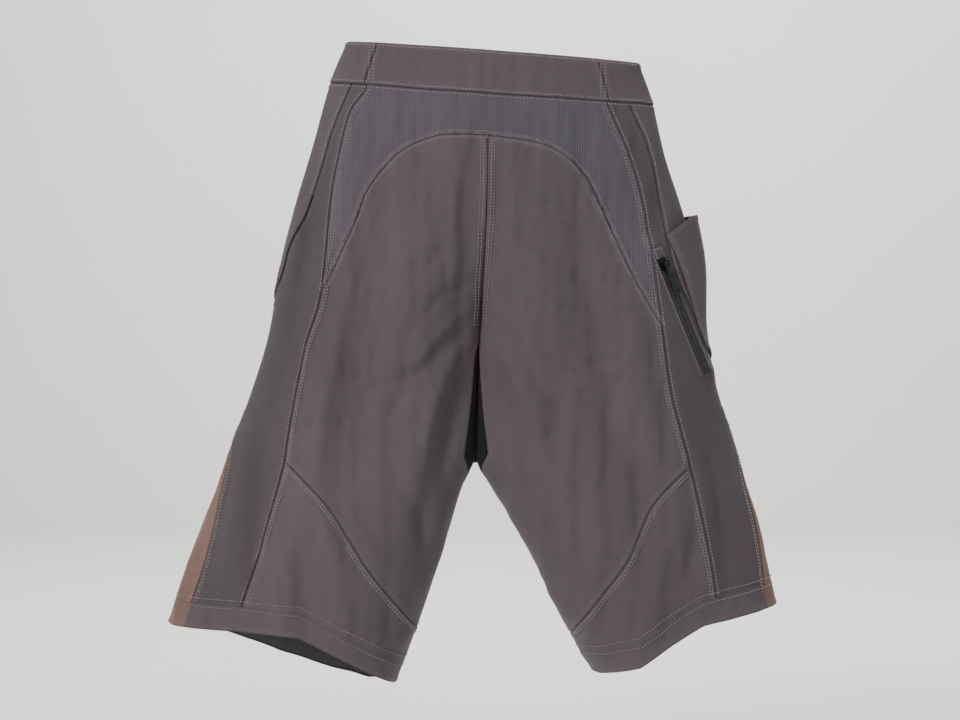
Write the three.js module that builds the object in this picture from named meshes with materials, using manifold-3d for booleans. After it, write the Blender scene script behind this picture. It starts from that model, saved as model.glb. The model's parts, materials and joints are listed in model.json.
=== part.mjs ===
// Knee-length riding shorts hung by the waistband, back towards -Y.
// Millimetres, +Z up, +X towards the wearer's right. The origin is the middle of the
// waistband's top opening, between the two places where a hanger's clips hold it.

import * as THREE from 'three';
import { mergeVertices } from 'three/addons/utils/BufferGeometryUtils.js';
import Module from 'manifold-3d';

const wasm = await Module();
wasm.setup();

// ---------------------------------------------------------------- Driving dimensions

const FABRIC = 1.8;              // wall of the woven shell, seam allowances included
const SEAM_GAP = 0.4;            // clearance between neighbouring panels
const LAYER_GAP = 0.35;          // clearance between a layer and what it lies on
const LENGTH_SCALE = 1;          // stretches every drop below the waist
const WIDTH_SCALE = 1;           // stretches every width
const DEPTH_SCALE = 1;           // stretches every front-to-back depth
const WAIST_TILT = 0.0735;       // fall of the waistband towards +X, mm per mm
const PAD_THICKNESS = 8;         // foam pads inside the shell
const HEM_HEIGHT = 26;           // turned hem, edge to stitching
const POCKET_BULGE = 12;         // how far the cargo pocket's mouth stands open
const SECTION_POWER = 0.45;      // roundness of the flattened cross-sections

const AROUND = 20;               // facets from front centre round the side to back centre
const ROW_HEIGHT = 46;           // one row of facets
const ROWS = 15;                 // rows from the waist past the hem
const RING_ROWS = 7;             // rows from the waist past the crotch
const REACH = 500;               // longer than the object, for cutting bodies

// Sizes of the two zips.
const ZIP = {
  tapeWidth: 9, tapeThickness: 1.1, coilWidth: 3.4, coilHeight: 1.3,
  sliderWidth: 8.4, sliderLength: 11, sliderRoof: 1.3, clearance: 0.35,
  barRadius: 0.8, boreClearance: 0.3, knuckleWall: 1.1, knuckleWidth: 3.2,
  earThickness: 1.3, earRoot: 0.2, earMargin: 0.88, pullWidth: 7.5, pullLength: 34,
  pullThickness: 2.2, neckEnd: 7, shoulder: 13, headMargin: 1, footMargin: 4, bedMargin: 2,
  bedFoot: 3, garageWidth: 12, garageHeight: 3.6, garageCorner: [2.5, 3],
};

// Outline of each half at stations down the garment: [drop, inner x, inner z, outer x,
// outer z, depth]. Inner is the centre seam above the crotch and the inseam below it.
const LEFT_STATIONS = [
  [0, 0, 0, -150, 11, 19], [46, 0, -47, -168, -33, 25], [108, 0, -108, -187, -101, 33],
  [163, -1, -163, -204, -158, 39], [223, -4, -223, -220, -220, 43],
  [300, -9, -300, -234, -302, 43], [370, -12, -370, -255, -370, 45],
  [433, -14, -433, -276, -428, 48], [460, -28, -462, -286, -458, 50],
  [500, -41, -505, -302, -496, 53], [575, -68, -589, -328, -568, 58],
  [640, -98, -670, -348, -632, 62], [700, -112, -716, -362, -686, 64],
];
const RIGHT_STATIONS = [
  [0, 0, 0, 161, -12, 19], [46, 0, -47, 176, -57, 25], [108, 0, -108, 189, -112, 33],
  [163, -1, -163, 207, -168, 39], [223, -4, -223, 223, -226, 43],
  [300, -9, -300, 231, -302, 43], [370, -11, -370, 246, -365, 45],
  [433, -12.5, -433, 266, -428, 48], [460, 2, -460, 274, -455, 50],
  [500, 27, -500, 286, -494, 53], [575, 70, -580, 303, -568, 58],
  [640, 109, -652, 317, -632, 62], [700, 132, -704, 330, -686, 64],
];
const FORK_START = 140;          // drop where the seat starts to part towards the legs
const CROTCH_DROP = 300;         // drop where the two legs are separate

// Seams, as [x, z] from the waist down, or from -X to +X.
const WAIST_SEAM = [[-260, -27], [-168, -33], [-60, -43], [0, -47], [60, -51],
  [176, -57], [260, -62]];
const CENTRE_SEAM = [[0, 60], [0, -108], [-1, -163], [-4, -223], [-9, -300], [-11.5, -370],
  [-13.3, -433], [-13.3, -730]];
const BAND_SEAM_LEFT = -123;
const BAND_SEAM_RIGHT = 122;
const SIDE_SEAM_LEFT = [[-118, -10], [-128, -41], [-145, -66], [-158, -115], [-166, -160],
  [-174, -257], [-192, -318], [-208, -402], [-215, -444], [-237, -523], [-255, -580],
  [-268, -640], [-285, -730]];
const SIDE_SEAM_RIGHT = [[112, -20], [126, -57], [145, -103], [160, -150], [170, -213],
  [182, -292], [193, -370], [212, -444], [223, -496], [235, -559], [246, -640],
  [262, -730]];
const ARCH_SEAM = [[-174, -257], [-143, -192], [-129, -155], [-108, -124], [-82, -103],
  [-50, -92], [-5, -91], [44, -98], [76, -110], [102, -134], [118, -166], [139, -213],
  [160, -255], [182, -292]];
const KNEE_BACK_LEFT = [[-213, -433], [-190, -455], [-166, -481], [-144, -516],
  [-124, -549], [-92, -591], [-60, -632], [-30, -670]];
const KNEE_BACK_RIGHT = [[50, -670], [85, -622], [118, -575], [144, -538], [157, -509],
  [170, -481], [190, -458], [211, -439]];
const KNEE_FRONT_LEFT = [[-350, -372], [-212, -425], [-150, -402], [-90, -402],
  [-30, -432], [20, -462]];
const KNEE_FRONT_RIGHT = [[-50, -462], [10, -432], [80, -402], [140, -402], [208, -425],
  [350, -372]];
const HIP_SEAM_LEFT = [[-136, -10], [-146, -40], [-166, -87], [-178, -129], [-190, -165],
  [-208, -207], [-219, -240], [-228, -262]];
const HIP_SEAM_RIGHT = [[140, -20], [150, -58], [166, -95], [176, -130], [183, -165],
  [187, -194], [197, -236], [212, -270], [226, -300]];
const INSERT_SEAM_LEFT = [[-262, -385], [-266, -402], [-273, -433], [-286, -496],
  [-302, -559], [-316, -610], [-335, -730]];
const INSERT_SEAM_RIGHT = [[248, -385], [257, -402], [270, -444], [283, -507], [290, -570],
  [293, -600], [305, -730]];
const GUSSET_SEAM_LEFT = [[-9, -285], [-12.6, -318], [-17, -370], [-26, -433], [-31, -462],
  [-10, -485]];
const GUSSET_SEAM_RIGHT = [[-9, -285], [-9.4, -318], [-6.5, -370], [1, -433], [5, -458],
  [-14, -485]];
const HEM_LEFT_BACK = [[-420, -600], [-341, -607], [-260, -610], [-197, -616],
  [-155, -638], [-98, -670], [-20, -700]];
const HEM_LEFT_FRONT = [[-420, -600], [-341, -607], [-286, -624], [-230, -646],
  [-180, -662], [-130, -673], [-98, -670], [-20, -700]];
const HEM_RIGHT_BACK = [[20, -690], [107, -657], [122, -657], [160, -647], [190, -624],
  [223, -604], [307, -586], [400, -566]];
const HEM_RIGHT_FRONT = [[20, -690], [107, -657], [150, -662], [190, -645], [240, -618],
  [307, -586], [400, -566]];

// Colours, roughness.
const MAIN = { color: 0x625a5c, roughness: 0.9 };
const SIDE = { color: 0x57524f, roughness: 0.92 };
const RIB = { color: 0x5d5868, roughness: 0.95 };
const TAN = { color: 0x7c6156, roughness: 0.9 };
const BLACK_CLOTH = { color: 0x151216, roughness: 0.95 };
const FOAM = { color: 0x2a2a2c, roughness: 0.98 };
const TAPE = { color: 0x3b3c3b, roughness: 0.85 };
const MOULDED = { color: 0x111113, roughness: 0.5 };
const METAL = { color: 0x2b2c2e, roughness: 0.38, metalness: 0.9 };

// ---------------------------------------------------------------- Solids and meshes

const group = new THREE.Group();

function toSolid(geometry) {
  const bare = geometry.clone();
  bare.deleteAttribute('normal');
  bare.deleteAttribute('uv');
  const merged = mergeVertices(bare, 1e-4);
  return new wasm.Manifold(new wasm.Mesh({
    numProp: 3,
    vertProperties: new Float32Array(merged.attributes.position.array),
    triVerts: new Uint32Array(merged.index.array),
  }));
}

function toGeometry(solid) {
  const mesh = solid.getMesh();
  const geometry = new THREE.BufferGeometry();
  geometry.setAttribute('position', new THREE.BufferAttribute(mesh.vertProperties, 3));
  geometry.setIndex(new THREE.BufferAttribute(mesh.triVerts, 1));
  geometry.computeVertexNormals();
  return geometry;
}

function addPart(name, shape, look) {
  const geometry = shape.isBufferGeometry ? shape : toGeometry(shape);
  const material = new THREE.MeshStandardMaterial({ metalness: 0, ...look });
  const mesh = new THREE.Mesh(geometry, material);
  mesh.name = name;
  group.add(mesh);
  return mesh;
}

// ---------------------------------------------------------------- The garment's surface

const clamp01 = (x) => Math.min(1, Math.max(0, x));
const smooth = (x) => clamp01(x) ** 2 * (3 - 2 * clamp01(x));

function stationSlope(stations, i, k) {
  const before = stations[Math.max(i - 1, 0)];
  const after = stations[Math.min(i + 1, stations.length - 1)];
  return (after[k] - before[k]) / (after[0] - before[0]);
}

// Value k of the stations at a drop, on a smooth curve through them.
function stationValue(stations, drop, k) {
  const last = stations.length - 2;
  let i = 0;
  while (i < last && stations[i + 1][0] < drop) i += 1;
  const a = stations[i];
  const b = stations[i + 1];
  const span = b[0] - a[0];
  const s = (drop - a[0]) / span;
  const h = s * s * (3 - 2 * s);
  const slopes = (s * (1 - s) ** 2) * stationSlope(stations, i, k)
    - (s * s * (1 - s)) * stationSlope(stations, i + 1, k);
  return a[k] * (1 - h) + b[k] * h + span * slopes;
}

// A point of one half's outer surface. round runs from -1 at the front centre, through 0
// at the outer side, to 1 at the back centre; drop is the station down the garment.
function surfacePoint(stations, round, drop) {
  const at = (k) => stationValue(stations, drop, k);
  const across = (1 + Math.cos(Math.PI * round)) / 2;
  const x = at(1) + (at(3) - at(1)) * across;
  const z = at(2) + (at(4) - at(2)) * across;
  const fork = smooth((drop - FORK_START) / (CROTCH_DROP - FORK_START));
  const body = Math.max(0, 1 - across ** 2) ** SECTION_POWER;
  const leg = Math.max(0, 1 - (2 * across - 1) ** 2) ** SECTION_POWER;
  const y = -Math.sign(round) * at(5) * (body * (1 - fork) + leg * fork);
  return new THREE.Vector3(x * WIDTH_SCALE, y * DEPTH_SCALE, z * LENGTH_SCALE);
}

// The outward normal, from neighbouring points of the surface.
function surfaceNormal(stations, round, drop) {
  const step = 0.02;
  const low = Math.max(round - step, -1);
  const high = Math.min(round + step, 1);
  const along = surfacePoint(stations, high, drop).sub(surfacePoint(stations, low, drop));
  const down = surfacePoint(stations, round, drop + 2)
    .sub(surfacePoint(stations, round, drop - 2));
  const normal = along.cross(down).normalize();
  return stations === LEFT_STATIONS ? normal.negate() : normal;
}

function offsetPoint(stations, round, drop, offset) {
  const lift = surfaceNormal(stations, round, drop).multiplyScalar(offset);
  return surfacePoint(stations, round, drop).add(lift);
}

// A closed body between two grids of points, outer and inner, rows by columns. A wrapped
// grid joins its last column to its first.
function thickSheet(outer, inner, wrapped = false) {
  const rows = outer.length;
  const columns = outer[0].length;
  const points = [...outer.flat(), ...inner.flat()];
  const inside = rows * columns;
  const index = [];
  const quad = (a, b, c, d) => index.push(a, b, c, a, c, d);
  const spans = wrapped ? columns : columns - 1;
  for (let j = 0; j + 1 < rows; j += 1) {
    for (let i = 0; i < spans; i += 1) {
      const a = j * columns + i;
      const b = j * columns + ((i + 1) % columns);
      quad(a, b, b + columns, a + columns);
      quad(inside + a, inside + a + columns, inside + b + columns, inside + b);
    }
  }
  for (let i = 0; i < spans; i += 1) {
    const b = (i + 1) % columns;
    const low = (rows - 1) * columns;
    quad(i, inside + i, inside + b, b);
    quad(low + b, inside + low + b, inside + low + i, low + i);
  }
  for (let j = 0; j + 1 < rows && !wrapped; j += 1) {
    const a = j * columns;
    const z = a + columns - 1;
    quad(a, a + columns, inside + a + columns, inside + a);
    quad(z + columns, z, inside + z, inside + z + columns);
  }
  const geometry = new THREE.BufferGeometry().setFromPoints(points);
  geometry.setIndex(index);
  const solid = toSolid(geometry);
  if (solid.volume() > 0) return solid;
  const flipped = index.map((_, n) => index[n - (n % 3) + [0, 2, 1][n % 3]]);
  geometry.setIndex(flipped);
  return toSolid(geometry);
}

const spread = (from, to, count) => Array.from(
  { length: count + 1 }, (_, i) => from + (to - from) * (i / count));

// Every layer is sampled at the same drops and the same places around, so that the facets
// of one layer lie parallel to those of the next. The columns run one way round the body.
const dropOf = (row) => row * ROW_HEIGHT;
const rowsFrom = (fromRow, toRow) => Array.from(
  { length: toRow - fromRow + 1 }, (_, i) => dropOf(fromRow + i));

// Columns of one half between two places around it, in steps of the shared sampling.
function columnsOf(stations, from, to) {
  const runs = stations === LEFT_STATIONS ? [Math.min(from, to), Math.max(from, to)]
    : [Math.max(from, to), Math.min(from, to)];
  const count = Math.round(Math.abs(to - from) * AROUND / 2);
  return spread(...runs, count).map((round) => [stations, round]);
}

// Columns across the centre, as far as a place on each side, on the front or the back.
function acrossCentre(face, reach) {
  const left = columnsOf(LEFT_STATIONS, face * reach, face);
  const right = columnsOf(RIGHT_STATIONS, face * reach, face);
  return face > 0 ? [...left, ...right.slice(1)] : [...right, ...left.slice(1)];
}

// A layer over part of the surface. outside is the offset of its outer face from the
// shell's outer face.
function layer(columns, rows, outside, thickness, { wrapped = false, slit = 0 } = {}) {
  const grid = (offset) => rows.map((drop) => columns.map(([stations, round]) => {
    const point = offsetPoint(stations, round, drop, offset);
    if (slit && Math.abs(round) === 1) point.y -= Math.sign(round) * slit;
    return point;
  }));
  return thickSheet(grid(outside), grid(outside - thickness), wrapped);
}

// One half of the garment, slit along the centre seam and inseam.
const halfShell = (stations) => layer(columnsOf(stations, -1, 1), rowsFrom(0, ROWS), 0,
  FABRIC, { slit: SEAM_GAP / 2 });

// One leg as a closed ring, for pieces that cross the inseam.
const legRing = (stations, rows) => layer(columnsOf(stations, -1, 1).slice(1),
  rowsFrom(...rows), 0, FABRIC, { wrapped: true });

// The whole body above the crotch as one ring, for pieces that cross the centre.
const bodyRing = () => layer([...columnsOf(LEFT_STATIONS, -1, 1).slice(1),
  ...columnsOf(RIGHT_STATIONS, -1, 1).slice(1)], rowsFrom(0, RING_ROWS), 0, FABRIC,
{ wrapped: true });

// ---------------------------------------------------------------- Cutting bodies

const BOTH = [-REACH, REACH];
const BACK = [-REACH, -SEAM_GAP / 4];
const FRONT = [SEAM_GAP / 4, REACH];

const scaled = (points) => points.map(([x, z]) => [x * WIDTH_SCALE, z * LENGTH_SCALE]);

// The outline [x, z] carried through a range of y.
function prism(outline, [yFrom, yTo]) {
  const shape = new THREE.Shape(scaled(outline).map(([x, z]) => new THREE.Vector2(x, z)));
  const geometry = new THREE.ExtrudeGeometry(
    shape, { depth: yTo - yFrom, bevelEnabled: false });
  geometry.rotateX(Math.PI / 2);
  geometry.translate(0, yTo, 0);
  return toSolid(geometry);
}

// The line moved sideways by a distance, to its left as it runs.
function sideways(line, distance) {
  return line.map((point, i) => {
    const a = line[Math.max(i - 1, 0)];
    const b = line[Math.min(i + 1, line.length - 1)];
    const length = Math.hypot(b[0] - a[0], b[1] - a[1]);
    const away = distance / length;
    return [point[0] - (b[1] - a[1]) * away, point[1] + (b[0] - a[0]) * away];
  });
}

// The thin wall that a seam takes out of the cloth.
function seamWall(line, range = BOTH) {
  const half = SEAM_GAP / 2;
  return prism([...sideways(line, half), ...sideways(line, -half).reverse()], range);
}

function cutAway(solid, ...cutters) {
  return cutters.reduce((rest, cutter) => rest.subtract(cutter), solid);
}

// Everything to the -X or +X side of a line that runs down.
const outboardOf = (line, side) => [...line,
  [side * REACH, line[line.length - 1][1]], [side * REACH, line[0][1]]];
// Everything under or over a line that runs from -X to +X, carried level past its ends.
const bounded = (line, z) => [...line, [REACH, line[line.length - 1][1]], [REACH, z],
  [-REACH, z], [-REACH, line[0][1]]];
const below = (line) => bounded(line, -2 * REACH);
const above = (line) => bounded(line, REACH);

// ---------------------------------------------------------------- Waistband and yoke

const topPlane = prism(above([[-REACH + 1, REACH * WAIST_TILT],
  [REACH - 1, -REACH * WAIST_TILT]]), BOTH);
const ring = cutAway(bodyRing(), topPlane, seamWall(WAIST_SEAM));
const straightDown = (x) => [[x, 60], [x, -120]];

function makeWaistband() {
  const band = cutAway(ring, prism(below(WAIST_SEAM), BOTH),
    seamWall(straightDown(BAND_SEAM_LEFT)), seamWall(straightDown(BAND_SEAM_RIGHT)));
  const middle = [[BAND_SEAM_LEFT, 60], [BAND_SEAM_LEFT, -120], [BAND_SEAM_RIGHT, -120],
    [BAND_SEAM_RIGHT, 60]];
  addPart('waistband_back', band.intersect(prism(middle, BACK)), MAIN);
  const front = band.intersect(prism(middle, FRONT)).subtract(seamWall(straightDown(0)));
  const half = (side) => prism(outboardOf(straightDown(0), side), BOTH);
  addPart('waistband_front_left', front.intersect(half(-1)), MAIN);
  addPart('waistband_front_right', front.intersect(half(1)), MAIN);
  addPart('waistband_side_left',
    band.intersect(prism(outboardOf(straightDown(BAND_SEAM_LEFT), -1), BOTH)), MAIN);
  addPart('waistband_side_right',
    band.intersect(prism(outboardOf(straightDown(BAND_SEAM_RIGHT), 1), BOTH)), MAIN);
}

// The part of a seam line between two heights, both ends included.
function stretch(line, zTop, zBottom) {
  return line.filter(([, z]) => z <= zTop && z >= zBottom);
}

function makeYoke() {
  const outline = [...stretch(SIDE_SEAM_LEFT, -10, -256), ...ARCH_SEAM,
    ...stretch(SIDE_SEAM_RIGHT, -20, -291).reverse()];
  const cloth = ring.intersect(prism(outline, BACK));
  const yoke = cutAway(cloth, prism(above(WAIST_SEAM), BOTH), seamWall(SIDE_SEAM_LEFT),
    seamWall(SIDE_SEAM_RIGHT), seamWall(ARCH_SEAM));
  addPart('ribbed_yoke', yoke, RIB);
}

makeWaistband();
makeYoke();

// ---------------------------------------------------------------- Legs

const SIDES = {
  left: {
    sign: -1, stations: LEFT_STATIONS, side: SIDE_SEAM_LEFT, hip: HIP_SEAM_LEFT,
    insert: INSERT_SEAM_LEFT, kneeBack: KNEE_BACK_LEFT, kneeFront: KNEE_FRONT_LEFT,
    gusset: GUSSET_SEAM_LEFT, hemBack: HEM_LEFT_BACK, hemFront: HEM_LEFT_FRONT,
  },
  right: {
    sign: 1, stations: RIGHT_STATIONS, side: SIDE_SEAM_RIGHT, hip: HIP_SEAM_RIGHT,
    insert: INSERT_SEAM_RIGHT, kneeBack: KNEE_BACK_RIGHT, kneeFront: KNEE_FRONT_RIGHT,
    gusset: GUSSET_SEAM_RIGHT, hemBack: HEM_RIGHT_BACK, hemFront: HEM_RIGHT_FRONT,
  },
};

const raised = (line, height) => line.map(([x, z]) => [x, z + height]);

// Everything below the hem's stitching, moved by a height, back and front.
function underHem({ hemBack, hemFront }, height) {
  return prism(below(raised(hemBack, height)), [-REACH, 0])
    .add(prism(below(raised(hemFront, height)), [-SEAM_GAP / 8, REACH]));
}

// The outline inboard of the side seam, down to the inseam and past it.
const inboard = ({ side, sign }) => [...side, [-sign * REACH, side[side.length - 1][1]],
  [-sign * REACH, side[0][1]]];

// The level seams that close the hip panel's foot and the side insert's head.
const levelOut = (point, sign) => [point, [sign * REACH, point[1]]];
const hipFoot = ({ hip, sign }) => levelOut(hip[hip.length - 1], sign);
const insertHead = ({ insert, sign }) => levelOut(insert[0], sign);

// The rows of facets that the gussets and the hems are cut from.
const GUSSET_ROWS = [6, 11];
const HEM_ROWS = [11, ROWS];

function makeLeg(name, s) {
  const gussetZone = prism(outboardOf(s.gusset, -s.sign), BOTH);
  const otherSide = prism(outboardOf(sideways(CENTRE_SEAM, SEAM_GAP / 2 * s.sign), -s.sign),
    BOTH);
  const cloth = cutAway(halfShell(s.stations), otherSide,
    prism(above(raised(WAIST_SEAM, -SEAM_GAP / 2)), BOTH),
    underHem(s, HEM_HEIGHT + SEAM_GAP / 2), seamWall(s.side));
  const inner = cutAway(cloth.intersect(prism(inboard(s), BOTH)), gussetZone,
    seamWall(s.gusset));

  const back = cutAway(inner.intersect(prism(inboard(s), BACK)), seamWall(s.kneeBack),
    seamWall(ARCH_SEAM));
  const belowArch = prism(below(ARCH_SEAM), BOTH);
  const belowKnee = prism(below(s.kneeBack), BOTH);
  addPart(`seat_panel_${name}`, back.intersect(belowArch).subtract(belowKnee), MAIN);
  addPart(`lower_back_panel_${name}`, back.intersect(belowKnee), MAIN);

  const front = cutAway(inner.intersect(prism(inboard(s), FRONT)), seamWall(s.kneeFront));
  const frontKnee = prism(below(s.kneeFront), BOTH);
  addPart(`front_panel_${name}`, front.subtract(frontKnee), MAIN);
  addPart(`front_knee_panel_${name}`, front.intersect(frontKnee), MAIN);

  const sideCloth = cutAway(cloth.subtract(prism(inboard(s), BOTH)), seamWall(s.hip),
    seamWall(s.insert), seamWall(hipFoot(s)), seamWall(insertHead(s)));
  const hipZone = prism(outboardOf(s.hip, s.sign), BOTH);
  const insertZone = prism(outboardOf(s.insert, s.sign), BOTH);
  addPart(`hip_panel_${name}`, sideCloth.intersect(hipZone), SIDE);
  addPart(`side_panel_${name}`, cutAway(sideCloth, hipZone, insertZone), SIDE);
  addPart(`side_insert_${name}`, sideCloth.intersect(insertZone), TAN);

  const gussetRing = legRing(s.stations, GUSSET_ROWS);
  addPart(`crotch_gusset_${name}`, cutAway(gussetRing, otherSide, seamWall(s.gusset))
    .intersect(gussetZone), BLACK_CLOTH);

  const hemRing = legRing(s.stations, HEM_ROWS);
  addPart(`hem_${name}`, hemRing.intersect(underHem(s, HEM_HEIGHT - SEAM_GAP / 2))
    .subtract(underHem(s, 0)), MAIN);
}

Object.entries(SIDES).forEach(([name, s]) => makeLeg(name, s));

// ---------------------------------------------------------------- Layers and patches

// The drop and the place around one half of the surface at an x and z before scaling.
function locate(stations, x, z, face) {
  let drop = -z;
  let across = 0;
  for (let i = 0; i < 12; i += 1) {
    const at = (k) => stationValue(stations, drop, k);
    across = clamp01((x - at(1)) / (at(3) - at(1)));
    drop += at(2) + (at(4) - at(2)) * across - z;
  }
  return { round: face * Math.acos(2 * across - 1) / Math.PI, drop };
}

const stationsAt = (x) => (x < 0 ? LEFT_STATIONS : RIGHT_STATIONS);

// The surface's point and outward normal at an x and z before scaling. Face 1 is the back,
// -1 the front.
function clothFrame(x, z, face) {
  const stations = stationsAt(x);
  const { round, drop } = locate(stations, x, z, face);
  return {
    point: surfacePoint(stations, round, drop),
    normal: surfaceNormal(stations, round, drop),
  };
}

// A rounded outline about a middle, leaning by an angle, with squarish shoulders.
function roundedOutline([x, z], halfWidth, halfHeight, lean = 0) {
  return spread(0, 2 * Math.PI, 20).slice(1).map((a) => {
    const squared = (v) => Math.sign(v) * Math.abs(v) ** 0.7;
    const u = halfWidth * squared(Math.cos(a));
    const w = halfHeight * squared(Math.sin(a));
    return [x + u * Math.cos(lean) - w * Math.sin(lean),
      z + u * Math.sin(lean) + w * Math.cos(lean)];
  });
}

// ---------------------------------------------------------------- Foam pads

const PAD_OFFSET = -FABRIC - LAYER_GAP;

// [name, columns, rows of facets, face, outline] of each pad.
const PADS = [
  ['tailbone_pad_left', [LEFT_STATIONS, 0.5, 1], [2, 5], BACK,
    roundedOutline([-30, -160], 24, 50)],
  ['tailbone_pad_right', [RIGHT_STATIONS, 0.5, 1], [2, 5], BACK,
    roundedOutline([30, -160], 24, 50)],
  ['hip_pad_left', [LEFT_STATIONS, 0.1, 0.5], [2, 6], BACK,
    roundedOutline([-168, -180], 24, 62, -0.1)],
  ['hip_pad_right', [RIGHT_STATIONS, 0.1, 0.5], [2, 6], BACK,
    roundedOutline([168, -180], 24, 62, 0.1)],
  ['thigh_pad_left', [LEFT_STATIONS, -0.7, -0.2], [6, 10], FRONT,
    roundedOutline([-150, -362], 46, 62)],
  ['thigh_pad_right', [RIGHT_STATIONS, -0.7, -0.2], [6, 10], FRONT,
    roundedOutline([142, -362], 46, 62)],
];

function makePads() {
  PADS.forEach(([name, columns, rows, range, outline]) => {
    const foam = layer(columnsOf(...columns), rowsFrom(...rows), PAD_OFFSET, PAD_THICKNESS);
    addPart(name, foam.intersect(prism(outline, range)), FOAM);
  });
}

makePads();

// ---------------------------------------------------------------- Zips

// Half of a zip's tape with its half of the coil, at +X or -X of the zip's own axis.
function zipTape(sign, fromY, toY) {
  const { tapeWidth, tapeThickness, coilWidth, coilHeight, clearance } = ZIP;
  const middle = clearance / 2;
  const shape = new THREE.Shape([
    [middle, 0], [tapeWidth / 2, 0], [tapeWidth / 2, tapeThickness],
    [coilWidth / 2, tapeThickness], [coilWidth / 2, tapeThickness + coilHeight],
    [middle, tapeThickness + coilHeight],
  ].map(([x, z]) => new THREE.Vector2(x, z)));
  const geometry = new THREE.ExtrudeGeometry(shape, { depth: toY - fromY, bevelEnabled: false });
  geometry.rotateX(Math.PI / 2);
  geometry.translate(0, toY, 0);
  if (sign < 0) geometry.rotateZ(Math.PI).translate(0, fromY + toY, 0);
  return geometry;
}

function boxSolid(size, centre) {
  return toSolid(new THREE.BoxGeometry(...size).translate(...centre));
}

const ROOF_LOW = ZIP.tapeThickness + ZIP.coilHeight + ZIP.clearance;
const ROOF_TOP = ROOF_LOW + ZIP.sliderRoof;
const BORE_RADIUS = ZIP.barRadius + ZIP.boreClearance;
const KNUCKLE_RADIUS = BORE_RADIUS + ZIP.knuckleWall;
const BAR_HEIGHT = ROOF_TOP + KNUCKLE_RADIUS + ZIP.clearance;
const EAR_X = ZIP.knuckleWidth / 2 + ZIP.clearance + ZIP.earThickness / 2;

// The slider: a roof over the coil, a wall each side, and two ears that carry a bar.
function zipSlider() {
  const { sliderWidth, sliderLength, coilWidth, clearance, tapeThickness } = ZIP;
  const wallFoot = tapeThickness + clearance;
  const wallWidth = (sliderWidth - coilWidth) / 2 - clearance;
  const wallX = (sliderWidth - wallWidth) / 2;
  const wallHeight = ROOF_TOP - wallFoot;
  const earFoot = ROOF_LOW + ZIP.earRoot;
  const earTop = BAR_HEIGHT + KNUCKLE_RADIUS;
  const earLength = 2 * KNUCKLE_RADIUS + ZIP.earMargin;
  let body = boxSolid([sliderWidth, sliderLength, ZIP.sliderRoof],
    [0, 0, (ROOF_LOW + ROOF_TOP) / 2]);
  [-1, 1].forEach((sign) => {
    body = body.add(boxSolid([wallWidth, sliderLength, wallHeight],
      [sign * wallX, 0, wallFoot + wallHeight / 2]));
    body = body.add(boxSolid([ZIP.earThickness, earLength, earTop - earFoot],
      [sign * EAR_X, 0, (earTop + earFoot) / 2]));
  });
  const bar = new THREE.CylinderGeometry(ZIP.barRadius, ZIP.barRadius,
    2 * EAR_X + ZIP.earThickness / 2, 12).rotateZ(Math.PI / 2).translate(0, 0, BAR_HEIGHT);
  return body.add(toSolid(bar));
}

// The pull: a knuckle round the slider's bar, a neck and a moulded grip with a slot.
function zipPull() {
  const { pullWidth, pullLength, pullThickness, knuckleWidth, neckEnd, shoulder } = ZIP;
  const ringShape = new THREE.Shape().absarc(0, 0, KNUCKLE_RADIUS, 0, 2 * Math.PI);
  ringShape.holes.push(new THREE.Path().absarc(0, 0, BORE_RADIUS, 0, 2 * Math.PI, true));
  const knuckle = new THREE.ExtrudeGeometry(ringShape, {
    depth: knuckleWidth, bevelEnabled: false, curveSegments: 8,
  }).rotateY(Math.PI / 2).translate(-knuckleWidth / 2, 0, BAR_HEIGHT);
  const neck = knuckleWidth / 2;
  const half = pullWidth / 2;
  const start = -(BORE_RADIUS + ZIP.knuckleWall / 2);
  const grip = new THREE.Shape();
  grip.moveTo(neck, start);
  grip.lineTo(neck, -neckEnd);
  grip.lineTo(half, -shoulder);
  grip.lineTo(half, -pullLength + half);
  grip.absarc(0, -pullLength + half, half, 0, -Math.PI, true);
  grip.lineTo(-half, -shoulder);
  grip.lineTo(-neck, -neckEnd);
  grip.lineTo(-neck, start);
  const slot = new THREE.Path();
  slot.absarc(0, -pullLength + half, half / 2.4, 0, 2 * Math.PI);
  grip.holes.push(slot);
  const plate = new THREE.ExtrudeGeometry(grip, {
    depth: pullThickness, bevelEnabled: false, curveSegments: 6,
  }).translate(0, 0, BAR_HEIGHT - pullThickness / 2);
  return toSolid(knuckle).add(toSolid(plate));
}

// The cloth bed between a zip's flat tape and the curved shell under it.
function zipBed(frame, halfWidth, fromY, toY, face) {
  const outer = [];
  const inner = [];
  spread(toY, fromY, 8).forEach((y) => {
    const row = spread(-halfWidth, halfWidth, 3)
      .map((x) => frame.localToWorld(new THREE.Vector3(x, y, -LAYER_GAP)));
    outer.push(row);
    inner.push(row.map((p) => {
      const under = clothFrame(p.x / WIDTH_SCALE, p.z / LENGTH_SCALE, face);
      return new THREE.Vector3(p.x, under.point.y + face * LAYER_GAP, p.z);
    }));
  });
  return thickSheet(outer, inner);
}

// The shell with a clearance outside it, for fitting what lies on the shell.
const shellClearance = () => layer([...columnsOf(LEFT_STATIONS, -1, 1).slice(1),
  ...columnsOf(RIGHT_STATIONS, -1, 1).slice(1)], rowsFrom(0, RING_ROWS + 1), LAYER_GAP,
LAYER_GAP + FABRIC, { wrapped: true });

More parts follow.
